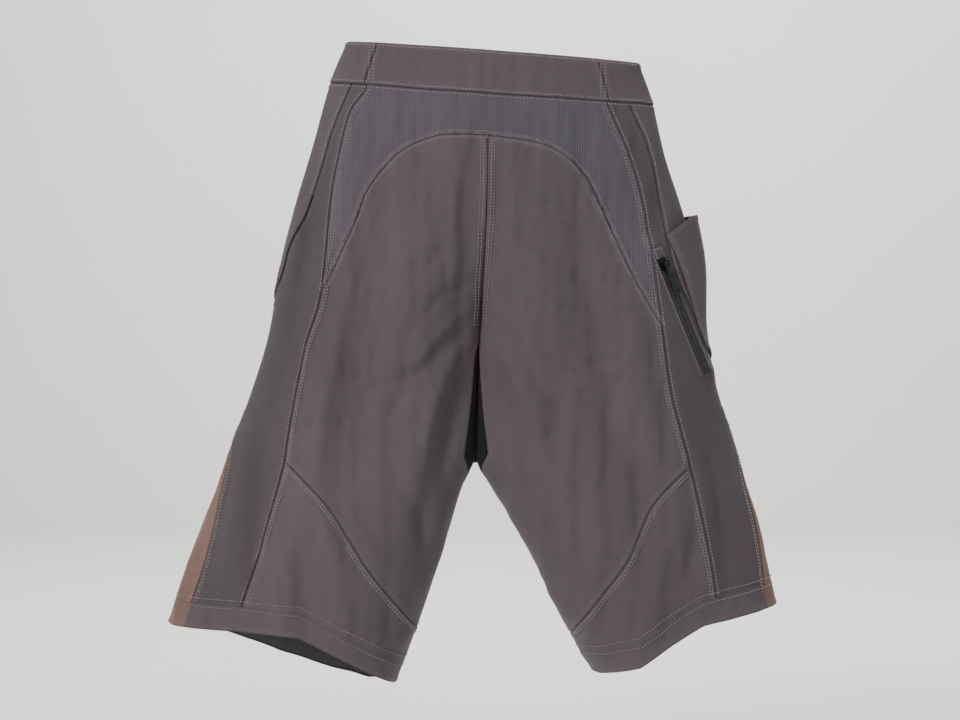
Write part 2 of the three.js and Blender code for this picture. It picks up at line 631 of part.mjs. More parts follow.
// A whole straight zip from its closed end to its open end, on the shell's outside.
function makeZip(prefix, { top, bottom, face, lift, travel, bedHead }) {
  const ends = [top, bottom].map(([x, z]) => clothFrame(x, z, face));
  const normal = ends[0].normal.clone().add(ends[1].normal).normalize();
  const up = ends[0].point.clone().sub(ends[1].point).normalize();
  normal.addScaledVector(up, -normal.dot(up)).normalize();
  const across = up.clone().cross(normal);
  const frame = new THREE.Group();
  frame.matrixAutoUpdate = false;
  frame.matrix.makeBasis(across, up, normal);
  frame.matrix.setPosition(ends[0].point.clone().addScaledVector(normal, lift));
  frame.updateMatrixWorld(true);

  const head = ZIP.sliderLength / 2 + ZIP.headMargin;
  const foot = -travel - ZIP.sliderLength / 2 - ZIP.footMargin;
  const place = (name, shape, look) => {
    const mesh = addPart(`${prefix}_${name}`, shape, look);
    mesh.applyMatrix4(frame.matrix);
  };
  place('zip_tape_left', zipTape(-1, foot, head), TAPE);
  place('zip_tape_right', zipTape(1, foot, head), TAPE);
  place('zip_slider', zipSlider(), METAL);
  place('zip_pull', zipPull(), MOULDED);
  const bed = zipBed(frame, ZIP.tapeWidth / 2 + ZIP.bedMargin, foot - ZIP.bedFoot,
    head + bedHead, face);
  addPart(`${prefix}_zip_bed`, bed.subtract(shellClearance()), MAIN);
  return { place, head };
}

const POCKET_ZIP = { top: [181, -229], bottom: [232, -352], face: 1, lift: 4.2, travel: 112,
  bedHead: 13 };
const FLY_ZIP = { top: [-7, -64], bottom: [-7, -176], face: -1, lift: 4, travel: 95,
  bedHead: 2 };

// The cloth hood over a zip's closed end, with its top corners cut off.
function zipGarage({ place, head }) {
  const [cutX, cutY] = ZIP.garageCorner;
  const side = ZIP.garageWidth / 2;
  const top = ZIP.garageWidth;
  const outline = [[-side, 0], [side, 0], [side, top - cutY], [side - cutX, top],
    [cutX - side, top], [-side, top - cutY]];
  const shape = new THREE.Shape(outline.map(([x, y]) => new THREE.Vector2(x, y)));
  const garage = new THREE.ExtrudeGeometry(
    shape, { depth: ZIP.garageHeight, bevelEnabled: false });
  place('zip_garage', garage.translate(0, head + LAYER_GAP, 0), MAIN);
}

zipGarage(makeZip('pocket', POCKET_ZIP));
makeZip('fly', FLY_ZIP);

// ---------------------------------------------------------------- Fly, waist tab, snaps

const OVERLAY = FABRIC + LAYER_GAP;

function makeFly() {
  const front = acrossCentre(-1, 0.6);
  const placket = layer(front, rowsFrom(0, 5), OVERLAY, FABRIC);
  addPart('fly_placket', placket.intersect(prism(FLY_OUTLINE, FRONT)), MAIN);
  const tab = layer(front, rowsFrom(0, 2), OVERLAY, FABRIC);
  addPart('waist_tab', tab.intersect(prism(TAB_OUTLINE, FRONT)), MAIN);
}

const SNAP_RADIUS = 6.5;
const CARGO_SNAP_RADIUS = 4;
const SNAP_HEIGHT = 2.2;
const WAIST_SNAP_AT = [-22, -24];
const FLY_OUTLINE = [[2, -54], [27, -55], [27, -165], [20, -182], [8, -190], [2, -190]];
const TAB_OUTLINE = [[-32, -9], [-36, -14], [-36, -34], [-32, -39], [34, -43], [34, -13]];

// A press stud's cap: a low dome on a rim, standing on a point of the cloth.
function makeSnap(name, point, normal, radius) {
  const profile = [[0, 0], [radius, 0], [radius, SNAP_HEIGHT * 0.55],
    [radius * 0.8, SNAP_HEIGHT], [0, SNAP_HEIGHT]].map(([r, h]) => new THREE.Vector2(r, h));
  const mesh = addPart(name, new THREE.LatheGeometry(profile, 20), METAL);
  mesh.position.copy(point);
  mesh.quaternion.setFromUnitVectors(new THREE.Vector3(0, 1, 0), normal);
}

function makeWaistSnap() {
  const { point, normal } = clothFrame(...WAIST_SNAP_AT, -1);
  const seat = point.clone().addScaledVector(normal, OVERLAY + 2 * LAYER_GAP);
  makeSnap('waist_snap', seat, normal, SNAP_RADIUS);
}

makeFly();
makeWaistSnap();

// ---------------------------------------------------------------- Pockets

// Columns of the cargo pocket, from its back border round the side to its front border:
// [share across, round at the mouth, round at the foot, drop of the mouth, drop of the foot].
const CARGO_COLUMNS = [
  [0, 0.243, 0.1, 194, 314], [0.15, 0.17, 0.04, 184, 322], [0.3, 0.09, -0.02, 174, 328],
  [0.45, 0, -0.09, 172, 332], [0.6, -0.1, -0.16, 172, 334], [0.75, -0.19, -0.24, 172, 334],
  [0.9, -0.28, -0.31, 174, 332], [1, -0.34, -0.36, 176, 330],
];
const CARGO_ROWS = 6;
const SLIT_HEIGHTS = [-160, -263];
const WELT_WIDTH = 8;

function cargoOffset(share, down) {
  return OVERLAY + POCKET_BULGE * Math.sin(Math.PI * share) ** 0.8 * (1 - down) ** 1.6;
}

function cargoPoint([share, roundTop, roundFoot, dropTop, dropFoot], down, inward) {
  const round = roundTop + (roundFoot - roundTop) * down;
  const drop = dropTop + (dropFoot - dropTop) * down;
  return offsetPoint(RIGHT_STATIONS, round, drop, cargoOffset(share, down) - inward);
}

function makePockets() {
  const grid = (inward) => spread(0, 1, CARGO_ROWS)
    .map((down) => CARGO_COLUMNS.map((column) => cargoPoint(column, down, inward)));
  const pocket = thickSheet(grid(0), grid(FABRIC));
  addPart('cargo_pocket', pocket.subtract(shellClearance()), MAIN);

  const slit = stretch(HIP_SEAM_LEFT, ...SLIT_HEIGHTS);
  const welt = [...slit, ...sideways(slit, WELT_WIDTH).reverse()];
  addPart('hand_pocket_welt', layer(columnsOf(LEFT_STATIONS, 0, 0.4), rowsFrom(3, 6), OVERLAY,
    FABRIC).intersect(prism(welt, BACK)), MAIN);

  const bag = layer(columnsOf(LEFT_STATIONS, -0.6, -0.2), rowsFrom(1, 6), -OVERLAY,
    FABRIC / 2);
  const bagOutline = roundedOutline([-145, -160], 40, 88, -0.12);
  addPart('hand_pocket_bag', bag.intersect(prism(bagOutline, FRONT)), BLACK_CLOTH);
}

// The small stud near the cargo pocket's mouth, seated on the middle of one facet.
function makeCargoSnap() {
  const [inner, outer] = [CARGO_COLUMNS[2], CARGO_COLUMNS[3]];
  const [high, low] = [1 / CARGO_ROWS, 2 / CARGO_ROWS];
  const corners = [cargoPoint(inner, high, 0), cargoPoint(outer, high, 0),
    cargoPoint(outer, low, 0), cargoPoint(inner, low, 0)];
  const middle = corners.reduce((sum, corner) => sum.add(corner), new THREE.Vector3())
    .divideScalar(corners.length);
  const normal = corners[2].clone().sub(corners[0])
    .cross(corners[3].clone().sub(corners[1])).normalize();
  if (normal.x < 0) normal.negate();
  makeSnap('cargo_snap', middle.addScaledVector(normal, 2 * LAYER_GAP), normal,
    CARGO_SNAP_RADIUS);
}

makePockets();
makeCargoSnap();

export default group;
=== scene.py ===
"""Hanging knee-length riding shorts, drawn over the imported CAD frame."""

import json
import math

import bmesh
import bpy
import numpy as np
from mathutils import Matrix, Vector
from mathutils.kdtree import KDTree


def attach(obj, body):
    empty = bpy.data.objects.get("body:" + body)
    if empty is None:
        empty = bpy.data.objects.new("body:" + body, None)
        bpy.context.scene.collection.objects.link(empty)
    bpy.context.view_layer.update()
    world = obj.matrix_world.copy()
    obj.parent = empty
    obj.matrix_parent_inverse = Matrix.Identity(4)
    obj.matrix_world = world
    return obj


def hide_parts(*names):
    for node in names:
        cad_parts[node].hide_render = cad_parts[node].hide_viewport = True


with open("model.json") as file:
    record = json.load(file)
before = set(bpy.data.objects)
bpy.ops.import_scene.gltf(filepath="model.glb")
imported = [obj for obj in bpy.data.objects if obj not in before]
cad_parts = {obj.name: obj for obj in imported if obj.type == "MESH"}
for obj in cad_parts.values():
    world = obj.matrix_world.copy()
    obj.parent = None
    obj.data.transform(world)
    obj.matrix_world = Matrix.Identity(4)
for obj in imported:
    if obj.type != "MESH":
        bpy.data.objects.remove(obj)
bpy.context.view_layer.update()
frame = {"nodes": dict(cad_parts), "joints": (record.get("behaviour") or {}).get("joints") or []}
JOINTS = {joint["name"]: joint for joint in frame["joints"]}

# ------------------------------------------------------------------ The shell's shape
# Control values are in millimetres and are those of the CAD shell. Each station is
# drop, inner x, inner z, outer x, outer z, depth.

LEFT_STATIONS = np.array([
    [0, 0, 0, -150, 11, 19], [46, 0, -47, -168, -33, 25], [108, 0, -108, -187, -101, 33],
    [163, -1, -163, -204, -158, 39], [223, -4, -223, -220, -220, 43],
    [300, -9, -300, -234, -302, 43], [370, -12, -370, -255, -370, 45],
    [433, -14, -433, -276, -428, 48], [460, -28, -462, -286, -458, 50],
    [500, -41, -505, -302, -496, 53], [575, -68, -589, -328, -568, 58],
    [640, -98, -670, -348, -632, 62], [700, -112, -716, -362, -686, 64]], float)
RIGHT_STATIONS = np.array([
    [0, 0, 0, 161, -12, 19], [46, 0, -47, 176, -57, 25], [108, 0, -108, 189, -112, 33],
    [163, -1, -163, 207, -168, 39], [223, -4, -223, 223, -226, 43],
    [300, -9, -300, 231, -302, 43], [370, -11, -370, 246, -365, 45],
    [433, -12.5, -433, 266, -428, 48], [460, 2, -460, 274, -455, 50],
    [500, 27, -500, 286, -494, 53], [575, 70, -580, 303, -568, 58],
    [640, 109, -652, 317, -632, 62], [700, 132, -704, 330, -686, 64]], float)
FORK_START = 140
CROTCH_DROP = 300
SECTION_POWER = 0.45
MM = 0.001

CENTRE_SEAM = [(0, 60), (0, -108), (-1, -163), (-4, -223), (-9, -300)]
WAIST_SEAM = [(-260, -27), (-168, -33), (-60, -43), (0, -47), (60, -51), (176, -57), (260, -62)]
BAND_SEAM_LEFT = -123
BAND_SEAM_RIGHT = 122
SIDE_SEAM_LEFT = [(-118, -10), (-128, -41), (-145, -66), (-158, -115), (-166, -160),
                  (-174, -257), (-192, -318), (-208, -402), (-215, -444), (-237, -523),
                  (-255, -580), (-268, -640), (-285, -730)]
SIDE_SEAM_RIGHT = [(112, -20), (126, -57), (145, -103), (160, -150), (170, -213),
                   (182, -292), (193, -370), (212, -444), (223, -496), (235, -559),
                   (246, -640), (262, -730)]
ARCH_SEAM = [(-174, -257), (-143, -192), (-129, -155), (-108, -124), (-82, -103), (-50, -92),
             (-5, -91), (44, -98), (76, -110), (102, -134), (118, -166), (139, -213),
             (160, -255), (182, -292)]
ARCH_TOP = 6                     # the arch point on the centre seam
KNEE_BACK_LEFT = [(-213, -433), (-190, -455), (-166, -481), (-144, -516), (-124, -549),
                  (-92, -591), (-60, -632), (-30, -670)]
KNEE_BACK_RIGHT = [(211, -439), (190, -458), (170, -481), (157, -509), (144, -538),
                   (118, -575), (85, -622), (50, -670)]
KNEE_FRONT_LEFT = [(-212, -425), (-150, -402), (-90, -402), (-30, -432), (20, -462)]
KNEE_FRONT_RIGHT = [(208, -425), (140, -402), (80, -402), (10, -432), (-50, -462)]
HIP_SEAM_LEFT = [(-136, -10), (-146, -40), (-166, -87), (-178, -129), (-190, -165),
                 (-208, -207), (-219, -240), (-228, -262)]
HIP_SEAM_RIGHT = [(140, -20), (150, -58), (166, -95), (176, -130), (183, -165),
                  (187, -194), (197, -236), (212, -270), (226, -300)]
INSERT_SEAM_LEFT = [(-262, -385), (-266, -402), (-273, -433), (-286, -496), (-302, -559),
                    (-316, -610), (-335, -730)]
INSERT_SEAM_RIGHT = [(248, -385), (257, -402), (270, -444), (283, -507), (290, -570),
                     (293, -600), (305, -730)]
GUSSET_SEAM_LEFT = [(-9, -300), (-12.6, -318), (-17, -370), (-26, -433), (-31, -462)]
GUSSET_SEAM_RIGHT = [(-9, -300), (-9.4, -318), (-6.5, -370), (1, -433), (5, -458)]
HEM_LEFT_BACK = [(-420, -600), (-341, -607), (-260, -610), (-197, -616), (-155, -638),
                 (-98, -670), (-20, -700)]
HEM_LEFT_FRONT = [(-420, -600), (-341, -607), (-286, -624), (-230, -646), (-180, -662),
                  (-130, -673), (-98, -670), (-20, -700)]
HEM_RIGHT_BACK = [(20, -690), (107, -657), (122, -657), (160, -647), (190, -624),
                  (223, -604), (307, -586), (400, -566)]
HEM_RIGHT_FRONT = [(20, -690), (107, -657), (150, -662), (190, -645), (240, -618),
                   (307, -586), (400, -566)]
HEM_HEIGHT = 26
BAND_HEIGHT = 46
BAND_MIDDLE = 20                 # drop at which the band's upright seams are read
WAIST_TILT = 0.0735

BACK, FRONT = 1, -1
LEFT, RIGHT = -1, 1


def smooth(x):
    x = np.clip(x, 0, 1)
    return x * x * (3 - 2 * x)


def station(table, drop, column):
    """A column of the station table at some drops, on the CAD's own smooth curve."""
    drops, values = table[:, 0], table[:, column]
    slopes = np.empty(len(drops))
    slopes[1:-1] = (values[2:] - values[:-2]) / (drops[2:] - drops[:-2])
    slopes[0] = (values[1] - values[0]) / (drops[1] - drops[0])
    slopes[-1] = (values[-1] - values[-2]) / (drops[-1] - drops[-2])
    i = np.clip(np.searchsorted(drops, drop) - 1, 0, len(drops) - 2)
    span = drops[i + 1] - drops[i]
    s = (drop - drops[i]) / span
    blend = s * s * (3 - 2 * s)
    bend = s * (1 - s) ** 2 * slopes[i] - s * s * (1 - s) * slopes[i + 1]
    return values[i] * (1 - blend) + values[i + 1] * blend + span * bend


# A place on the shell is [turn, drop], read in one of four ways. On one half, turn runs
# from 0 at the outer side to 1 at the back centre or inseam, and to -1 round the front.
# Across the back or the front it runs from the left side, over the centre at 1, to 2.
LEFT_HALF, RIGHT_HALF, ACROSS_BACK, ACROSS_FRONT = "left", "right", "back", "front"
OUTWARD = {LEFT_HALF: -1, RIGHT_HALF: 1, ACROSS_BACK: -1, ACROSS_FRONT: 1}


def split(turn, way):
    """Which points are on the left half, and their turn on their own half."""
    if way in (LEFT_HALF, RIGHT_HALF):
        around = np.where(turn > 1, turn - 2, np.where(turn < -1, turn + 2, turn))
        return np.full(np.shape(turn), way == LEFT_HALF), around
    left = turn <= 1
    around = np.where(left, turn, 2 - turn)
    return left, around if way == ACROSS_BACK else -around


def base_point(turn, drop, way):
    """The smooth shell at some places, in millimetres."""
    turn, drop = np.broadcast_arrays(np.asarray(turn, float), np.asarray(drop, float))
    left, around = split(turn, way)
    value = [np.where(left, station(LEFT_STATIONS, drop, k), station(RIGHT_STATIONS, drop, k))
             for k in range(1, 6)]
    across = (1 + np.cos(np.pi * around)) / 2
    x = value[0] + (value[2] - value[0]) * across
    z = value[1] + (value[3] - value[1]) * across
    fork = smooth((drop - FORK_START) / (CROTCH_DROP - FORK_START))
    body = np.maximum(0, 1 - across ** 2) ** SECTION_POWER
    leg = np.maximum(0, 1 - (2 * across - 1) ** 2) ** SECTION_POWER
    y = -np.sign(around) * value[4] * (body * (1 - fork) + leg * fork)
    return np.stack([x, y, z], -1)


def place_of(line, face, side):
    """The places of points given by x and z on the front or back of one half."""
    line = np.asarray(line, float)
    x, z = line[..., 0], line[..., 1]
    table = LEFT_STATIONS if side == LEFT else RIGHT_STATIONS
    drop = -z
    for _ in range(14):
        inner, outer = station(table, drop, 1), station(table, drop, 3)
        across = np.clip((x - inner) / (outer - inner), 0, 1)
        top, bottom = station(table, drop, 2), station(table, drop, 4)
        drop = drop + top + (bottom - top) * across - z
    around = face * np.arccos(np.clip(2 * across - 1, -1, 1)) / np.pi
    return np.stack([around, drop], -1)


def place_across(line):
    """The places of points given by x and z on a line that crosses the centre."""
    line = np.asarray(line, float)
    left = place_of(line, 1, LEFT)
    right = place_of(line, 1, RIGHT)
    right[:, 0] = 2 - right[:, 0]
    middle = np.interp(-line[:, 1], [-z for _, z in CENTRE_SEAM], [x for x, _ in CENTRE_SEAM])
    return np.where((line[:, 0] <= middle)[:, None], left, right)


# ------------------------------------------------------------------ Where the zips lie

TAPE_WIDTH, TAPE_THICKNESS, COIL_WIDTH, COIL_HEIGHT = 9, 1.1, 3.4, 1.3
TOOTH_PITCH = 1.5
TAPE_GAP = 0.2                   # half the gap between the two tapes
LINK_HALF_WIDTH, LINK_HALF_LENGTH = 0.92, 0.5
LIP_START = 5.4                  # where the cloth beside a tape begins, from its middle
BED_HALF_WIDTH = 9.5
BED_REACH = 17                   # how far from a zip's middle the shell is drawn out
BED_DROP = -0.9                  # height of the drawn-out shell under the tape
BED_LIFT = 0.45                  # height of the bed's outer edge over the shell
BED_FADE = 24                    # length over which the drawing out begins past an end
ZIP_HEAD, ZIP_FOOT = 6.5, 9.5    # tape past the slider's two end places
PULL_HINGE = 6.6                 # height of the pull's hinge over the tape's underside
DEPTH_REACH = 25                 # only the shell this near the zip's plane is drawn out


class Zip:
    """A zip's own frame, across, up and out from the slider's closed place. It comes from
    the CAD's joints: the slider runs down, and the pull hinges on an axis across."""

    def __init__(self, name, face, side):
        slide, swing = JOINTS[f"{name}_zip_slide"], JOINTS[f"{name}_pull_swing"]
        self.name, self.face, self.side = name, face, side
        self.up, self.across = -np.array(slide["axis"], float), -np.array(swing["axis"], float)
        self.out = np.cross(self.across, self.up)
        self.origin = np.array(swing["pos_m"]) / MM - PULL_HINGE * self.out
        self.head = ZIP_HEAD
        self.foot = -round(slide["range_m"][1] / MM, 3) - ZIP_FOOT

    def rise(self, point):
        """How far the shell is drawn out to meet the zip's bed."""
        local = point - self.origin
        x, y, height = (local @ axis for axis in (self.across, self.up, self.out))
        near = np.exp(-(x / BED_REACH) ** 2) * smooth((y - self.foot + BED_FADE) / BED_FADE)
        near = near * smooth((self.head + 34 - y) / BED_FADE) * (np.abs(height) < DEPTH_REACH)
        return near * np.clip(BED_DROP - height, -3, 6)

    def point(self, x, y, height):
        x, y, height = np.broadcast_arrays(x, y, height)
        return (self.origin + x[..., None] * self.across + y[..., None] * self.up
                + height[..., None] * self.out)


POCKET_ZIP = Zip("pocket", BACK, RIGHT)
FLY_ZIP = Zip("fly", FRONT, LEFT)


# ------------------------------------------------------------------ Folds in the cloth

# Soft folds: which face, points [x, z], half width, height. Height below 0 is a valley.
FOLDS = [
    (BACK, [(-66, -120), (-70, -250), (-66, -400), (-76, -560)], 36, 7.0),
    (BACK, [(-150, -300), (-120, -330), (-84, -338)], 7, 2.0),
    (BACK, [(-196, -404), (-170, -392), (-128, -396)], 7, -2.2),
    (BACK, [(-150, -470), (-128, -520), (-96, -562)], 8, 2.4),
    (BACK, [(-60, -600), (-92, -620), (-132, -622)], 8, 2.2),
    (BACK, [(160, -316), (128, -344), (92, -350)], 7, 2.0),
    (BACK, [(60, -560), (92, -600), (118, -612)], 8, 2.2),
    (BACK, [(150, -590), (186, -596), (216, -584)], 8, -2.2),
    (BACK, [(-120, -16), (-60, -24), (10, -30), (110, -38)], 9, -1.2),
    (BACK, [(-86, -400), (-112, -520), (-136, -640), (-140, -690)], 46, 9.0),
    (BACK, [(80, -400), (112, -520), (136, -640), (140, -690)], 44, 8.0),
    (BACK, [(-118, -170), (-126, -300), (-140, -450)], 18, -5.0),
    (BACK, [(-150, -250), (-176, -390), (-196, -500), (-222, -600)], 14, 4.5),
    (BACK, [(-20, -110), (-24, -230), (-36, -320)], 11, -3.5),
    (BACK, [(-14, -310), (-36, -380), (-60, -460), (-84, -540)], 11, -6.5),
    (BACK, [(-24, -300), (-58, -370), (-88, -470)], 9, 3.5),
    (BACK, [(-12, -285), (-70, -335), (-118, -410)], 9, -3.6),
    (BACK, [(-10, -262), (-56, -304), (-86, -356)], 7, 2.2),
    (BACK, [(-8, -240), (-50, -262), (-90, -310)], 6, -1.8),
    (BACK, [(42, -130), (40, -250), (52, -410), (88, -560)], 33, 6.5),
    (BACK, [(92, -170), (112, -310), (146, -470)], 18, -5.0),
    (BACK, [(146, -260), (166, -390), (194, -520)], 14, 4.5),
    (BACK, [(14, -120), (12, -220), (18, -300)], 9, -3.0),
    (BACK, [(0, -310), (20, -380), (50, -460), (84, -540)], 11, -6.0),
    (BACK, [(10, -300), (44, -370), (76, -470)], 9, 3.2),
    (BACK, [(-2, -285), (44, -335), (90, -405)], 9, -3.4),
    (BACK, [(0, -258), (40, -300), (66, -352)], 7, 2.0),
    (BACK, [(-176, -110), (-188, -190), (-208, -300), (-232, -420), (-246, -520)], 13, -8.0),
    (BACK, [(-190, -120), (-206, -210), (-222, -310)], 8, 3.0),
    (BACK, [(172, -110), (190, -210), (204, -330)], 8, -3.0),
    (BACK, [(-100, -62), (-108, -120)], 9, 1.8),
    (BACK, [(-30, -58), (-36, -88)], 9, -1.6),
    (BACK, [(60, -60), (66, -100)], 10, -1.6),
    (BACK, [(-176, -470), (-156, -550), (-148, -630)], 12, 4.2),
    (BACK, [(-204, -500), (-192, -560), (-186, -620)], 9, -4.0),
    (BACK, [(-110, -520), (-104, -590), (-110, -650)], 10, -4.4),
    (BACK, [(-206, -455), (-168, -500), (-150, -560)], 10, 3.4),
    (BACK, [(-60, -330), (-96, -352), (-134, -360)], 7, -2.4),
    (BACK, [(-34, -200), (-66, -232), (-104, -246)], 8, -1.8),
    (BACK, [(-100, -440), (-70, -500), (-62, -566)], 9, -3.2),
    (BACK, [(60, -318), (96, -336), (130, -330)], 7, -2.4),
    (BACK, [(30, -190), (62, -216), (98, -224)], 8, -1.8),
    (BACK, [(96, -430), (92, -500), (104, -560)], 9, -3.4),
    (BACK, [(130, -400), (150, -440), (186, -452)], 8, -2.6),
    (BACK, [(-232, -440), (-242, -520), (-252, -600)], 8, -4.5),
    (BACK, [(-250, -400), (-266, -500), (-284, -590)], 8, 2.8),
    (BACK, [(196, -480), (176, -560), (170, -630)], 12, 3.8),
    (BACK, [(216, -500), (206, -570)], 8, -3.4),
    (BACK, [(118, -540), (128, -600), (140, -650)], 10, -3.4),
    (BACK, [(228, -400), (244, -500), (256, -590)], 9, -4.0),
    (BACK, [(206, -360), (222, -440), (236, -520)], 8, 2.6),
    (FRONT, [(-70, -90), (-80, -260), (-96, -420), (-120, -600)], 32, 8.0),
    (FRONT, [(-150, -150), (-165, -320), (-190, -520)], 20, -6.0),
    (FRONT, [(66, -90), (76, -260), (96, -420), (140, -600)], 30, 7.5),
    (FRONT, [(140, -160), (160, -330), (190, -520)], 20, -6.0),
    (FRONT, [(-14, -300), (-50, -380), (-90, -440)], 12, -5.5),
    (FRONT, [(-4, -300), (34, -380), (70, -440)], 12, -5.5),
    (FRONT, [(-30, -290), (-80, -350), (-120, -380)], 9, 2.5),
    (FRONT, [(16, -290), (60, -350), (100, -380)], 9, 2.5),
]


# The cloth lies smooth near these lines: face, points [x, z], reach.
CALM = [
    (BACK, [(181, -215), (232, -352)], 26),
    (FRONT, [(-4, -20), (-7, -190)], 32),
    (BACK, [(212, -190), (246, -330)], 24),
    (FRONT, [(205, -180), (225, -330)], 40),
]


def line_distance(x, z, line):
    """Distance to a polyline, and how far along it from 0 to 1."""
    points = np.array(line, float)
    steps = np.linalg.norm(np.diff(points, axis=0), axis=1)
    reach = np.concatenate([[0], np.cumsum(steps)])
    best = np.full(np.shape(x), 1e9)
    along = np.zeros(np.shape(x))
    for a, b, start, length in zip(points[:-1], points[1:], reach[:-1], steps):
        t = np.clip(((x - a[0]) * (b[0] - a[0]) + (z - a[1]) * (b[1] - a[1])) / length ** 2, 0, 1)
        d = np.hypot(x - a[0] - t * (b[0] - a[0]), z - a[1] - t * (b[1] - a[1]))
        along = np.where(d < best, (start + t * length) / reach[-1], along)
        best = np.minimum(best, d)
    return best, along


RIPPLES = ((90, 2.0), (52, 1.5), (28, 1.0), (15, 0.5))      # wavelength, height
BACK_SEED, FRONT_SEED = 3, 8
REST_OF_FOLD = 0.15              # share of a fold's height left at its two ends
REST_OF_RIPPLE = 0.12            # share of the ripple left where the cloth is held flat
FOLD_TOP, FOLD_GROWTH = 25, 60   # drop where folds begin, and the length they grow over
CROTCH_X, CROTCH_REACH = -5, 16  # middle and half width of the calm strip at the crotch
CROTCH_CALM = (280, 480)         # drops between which it lies
FACE_FADE = 12                   # depth over which a fold fades out at the sides


def ripple(x, z, seed):
    """Gentle uneven waves, longer down the cloth than across it."""
    total = np.zeros(np.shape(x))
    chooser = np.random.default_rng(seed)
    for wavelength, height in RIPPLES:
        for _ in range(3):
            lean = chooser.uniform(-0.5, 0.5)
            phase = chooser.uniform(0, 2 * np.pi)
            u = x * math.cos(lean) + z * math.sin(lean) * 0.45
            sway = np.sin(z / wavelength / 1.7 + phase)
            total += height / 3 * np.sin(2 * np.pi * u / wavelength + 1.4 * sway + phase)
    return total


def fold_height(point):
    """How far the hanging cloth stands out from the smooth shell, in millimetres."""
    x, y, z = point[..., 0], point[..., 1], point[..., 2]
    height = np.zeros(np.shape(x))
    for face, line, width, rise in FOLDS:
        distance, along = line_distance(x, z, line)
        ends = smooth(along / 0.25) * smooth((1 - along) / 0.25)
        held = REST_OF_FOLD + (1 - REST_OF_FOLD) * ends
        height += rise * np.exp(-(distance / width) ** 2) * held * smooth(-face * y / FACE_FADE)
    at_crotch = np.exp(-((x - CROTCH_X) / CROTCH_REACH) ** 2)
    at_crotch *= smooth((-z - CROTCH_CALM[0]) / 30) * smooth((CROTCH_CALM[1] + z) / 40)
    flat = smooth((-z - FOLD_TOP) / FOLD_GROWTH) * (1 - at_crotch)
    for face, line, reach in CALM:
        distance, _ = line_distance(x, z, line)
        flat = flat * (1 - smooth(1.8 - distance / reach) * smooth(0.5 - face * y / 16))
    waves = np.where(y < 0, ripple(x, z, BACK_SEED), ripple(x, z, FRONT_SEED))
    waves *= smooth(np.abs(y) / FACE_FADE) * (REST_OF_RIPPLE + (1 - REST_OF_RIPPLE) * flat)
    return height * flat + waves + POCKET_ZIP.rise(point) + FLY_ZIP.rise(point)


TURN_STEP, DROP_STEP = 0.012, 1.5                # spacing at which a normal is measured


def cloth_frame(turn, drop, way):
    """Point and outward normal of the folded cloth, in millimetres."""
    turn, drop = np.broadcast_arrays(np.asarray(turn, float), np.asarray(drop, float))
    whole = drop < CROTCH_DROP - 10
    low, high = turn - TURN_STEP, turn + TURN_STEP
    if way in (LEFT_HALF, RIGHT_HALF):
        low = np.where(whole, np.maximum(low, -1), low)
        high = np.where(whole, np.minimum(high, 1), high)

    def normal_of(surface):
        side = surface(high, drop) - surface(low, drop)
        down = surface(turn, drop + DROP_STEP) - surface(turn, drop - DROP_STEP)
        normal = np.cross(side, down) * OUTWARD[way]
        return normal / np.maximum(np.linalg.norm(normal, axis=-1, keepdims=True), 1e-9)

    smooth_normal = normal_of(lambda t, d: base_point(t, d, way))
    _, around = split(turn, way)
    at_centre = smooth((np.abs(around) - 0.86) / 0.12) * smooth((CROTCH_DROP + 4 - drop) / 20)
    straight = np.stack([0 * around, -np.sign(around), 0 * around], -1)
    smooth_normal += (straight - smooth_normal) * at_centre[..., None]

    def folded(t, d):
        point = base_point(t, d, way)
        return point + smooth_normal * fold_height(point)[..., None]

    normal = normal_of(folded)
    return folded(turn, drop), normal + (straight - normal) * at_centre[..., None]


# ------------------------------------------------------------------ Paths on the cloth

def reach_along(path, way):
    """Distance over the smooth shell to each point of a path."""
    steps = np.diff(base_point(path[:, 0], path[:, 1], way), axis=0)
    return np.concatenate([[0], np.cumsum(np.linalg.norm(steps, axis=1))])


def resample(path, way, shares):
    """The places at some shares, 0 to 1, of a path's length over the cloth."""
    path = np.asarray(path, float)
    t = np.linspace(0, 1, 10, endpoint=False)[:, None]
    fine = [a + (b - a) * t for a, b in zip(path[:-1], path[1:])]
    fine = np.concatenate(fine + [path[-1:]])
    reach = reach_along(fine, way)
    at = np.asarray(shares) * reach[-1]
    return np.stack([np.interp(at, reach, fine[:, k]) for k in (0, 1)], -1)


CURVE_STEPS = 6                  # steps between two points of a seam


def curved(line):
    """A smooth curve through the points of a seam."""
    p = np.array(line, float)
    p = np.vstack([2 * p[0] - p[1], p, 2 * p[-1] - p[-2]])
    t = np.linspace(0, 1, CURVE_STEPS, endpoint=False)[:, None]
    spans = [0.5 * (2 * b + (c - a) * t + (2 * a - 5 * b + 4 * c - d) * t ** 2
                    + (3 * b - a - 3 * c + d) * t ** 3)
             for a, b, c, d in zip(p[:-3], p[1:-2], p[2:-1], p[3:])]
    return np.concatenate(spans + [p[-2:-1]])


def level(line, side):
    """A line across one half as a function from turn to drop."""
    line = np.asarray(line, float)
    line = line[np.argsort(line[:, 0])]
    x = np.linspace(*((-14, 420) if side == RIGHT else (-420, 14)), 300)
    places = place_of(np.stack([x, np.interp(x, line[:, 0], line[:, 1])], -1), 1, side)
    places = places[(places[:, 0] > 0) & (places[:, 0] < 1)]
    across = np.cos(np.pi * places[:, 0])
    order = np.argsort(across)
    return lambda turn: np.interp(np.cos(np.pi * np.asarray(turn)), across[order],
                                  places[order, 1])


def upright(line, side):
    """A line down one half as a function from drop to turn."""
    places = place_of(curved(line), 1, side)
    order = np.argsort(places[:, 1])
    return lambda drop: np.interp(drop, places[order, 1], places[order, 0])


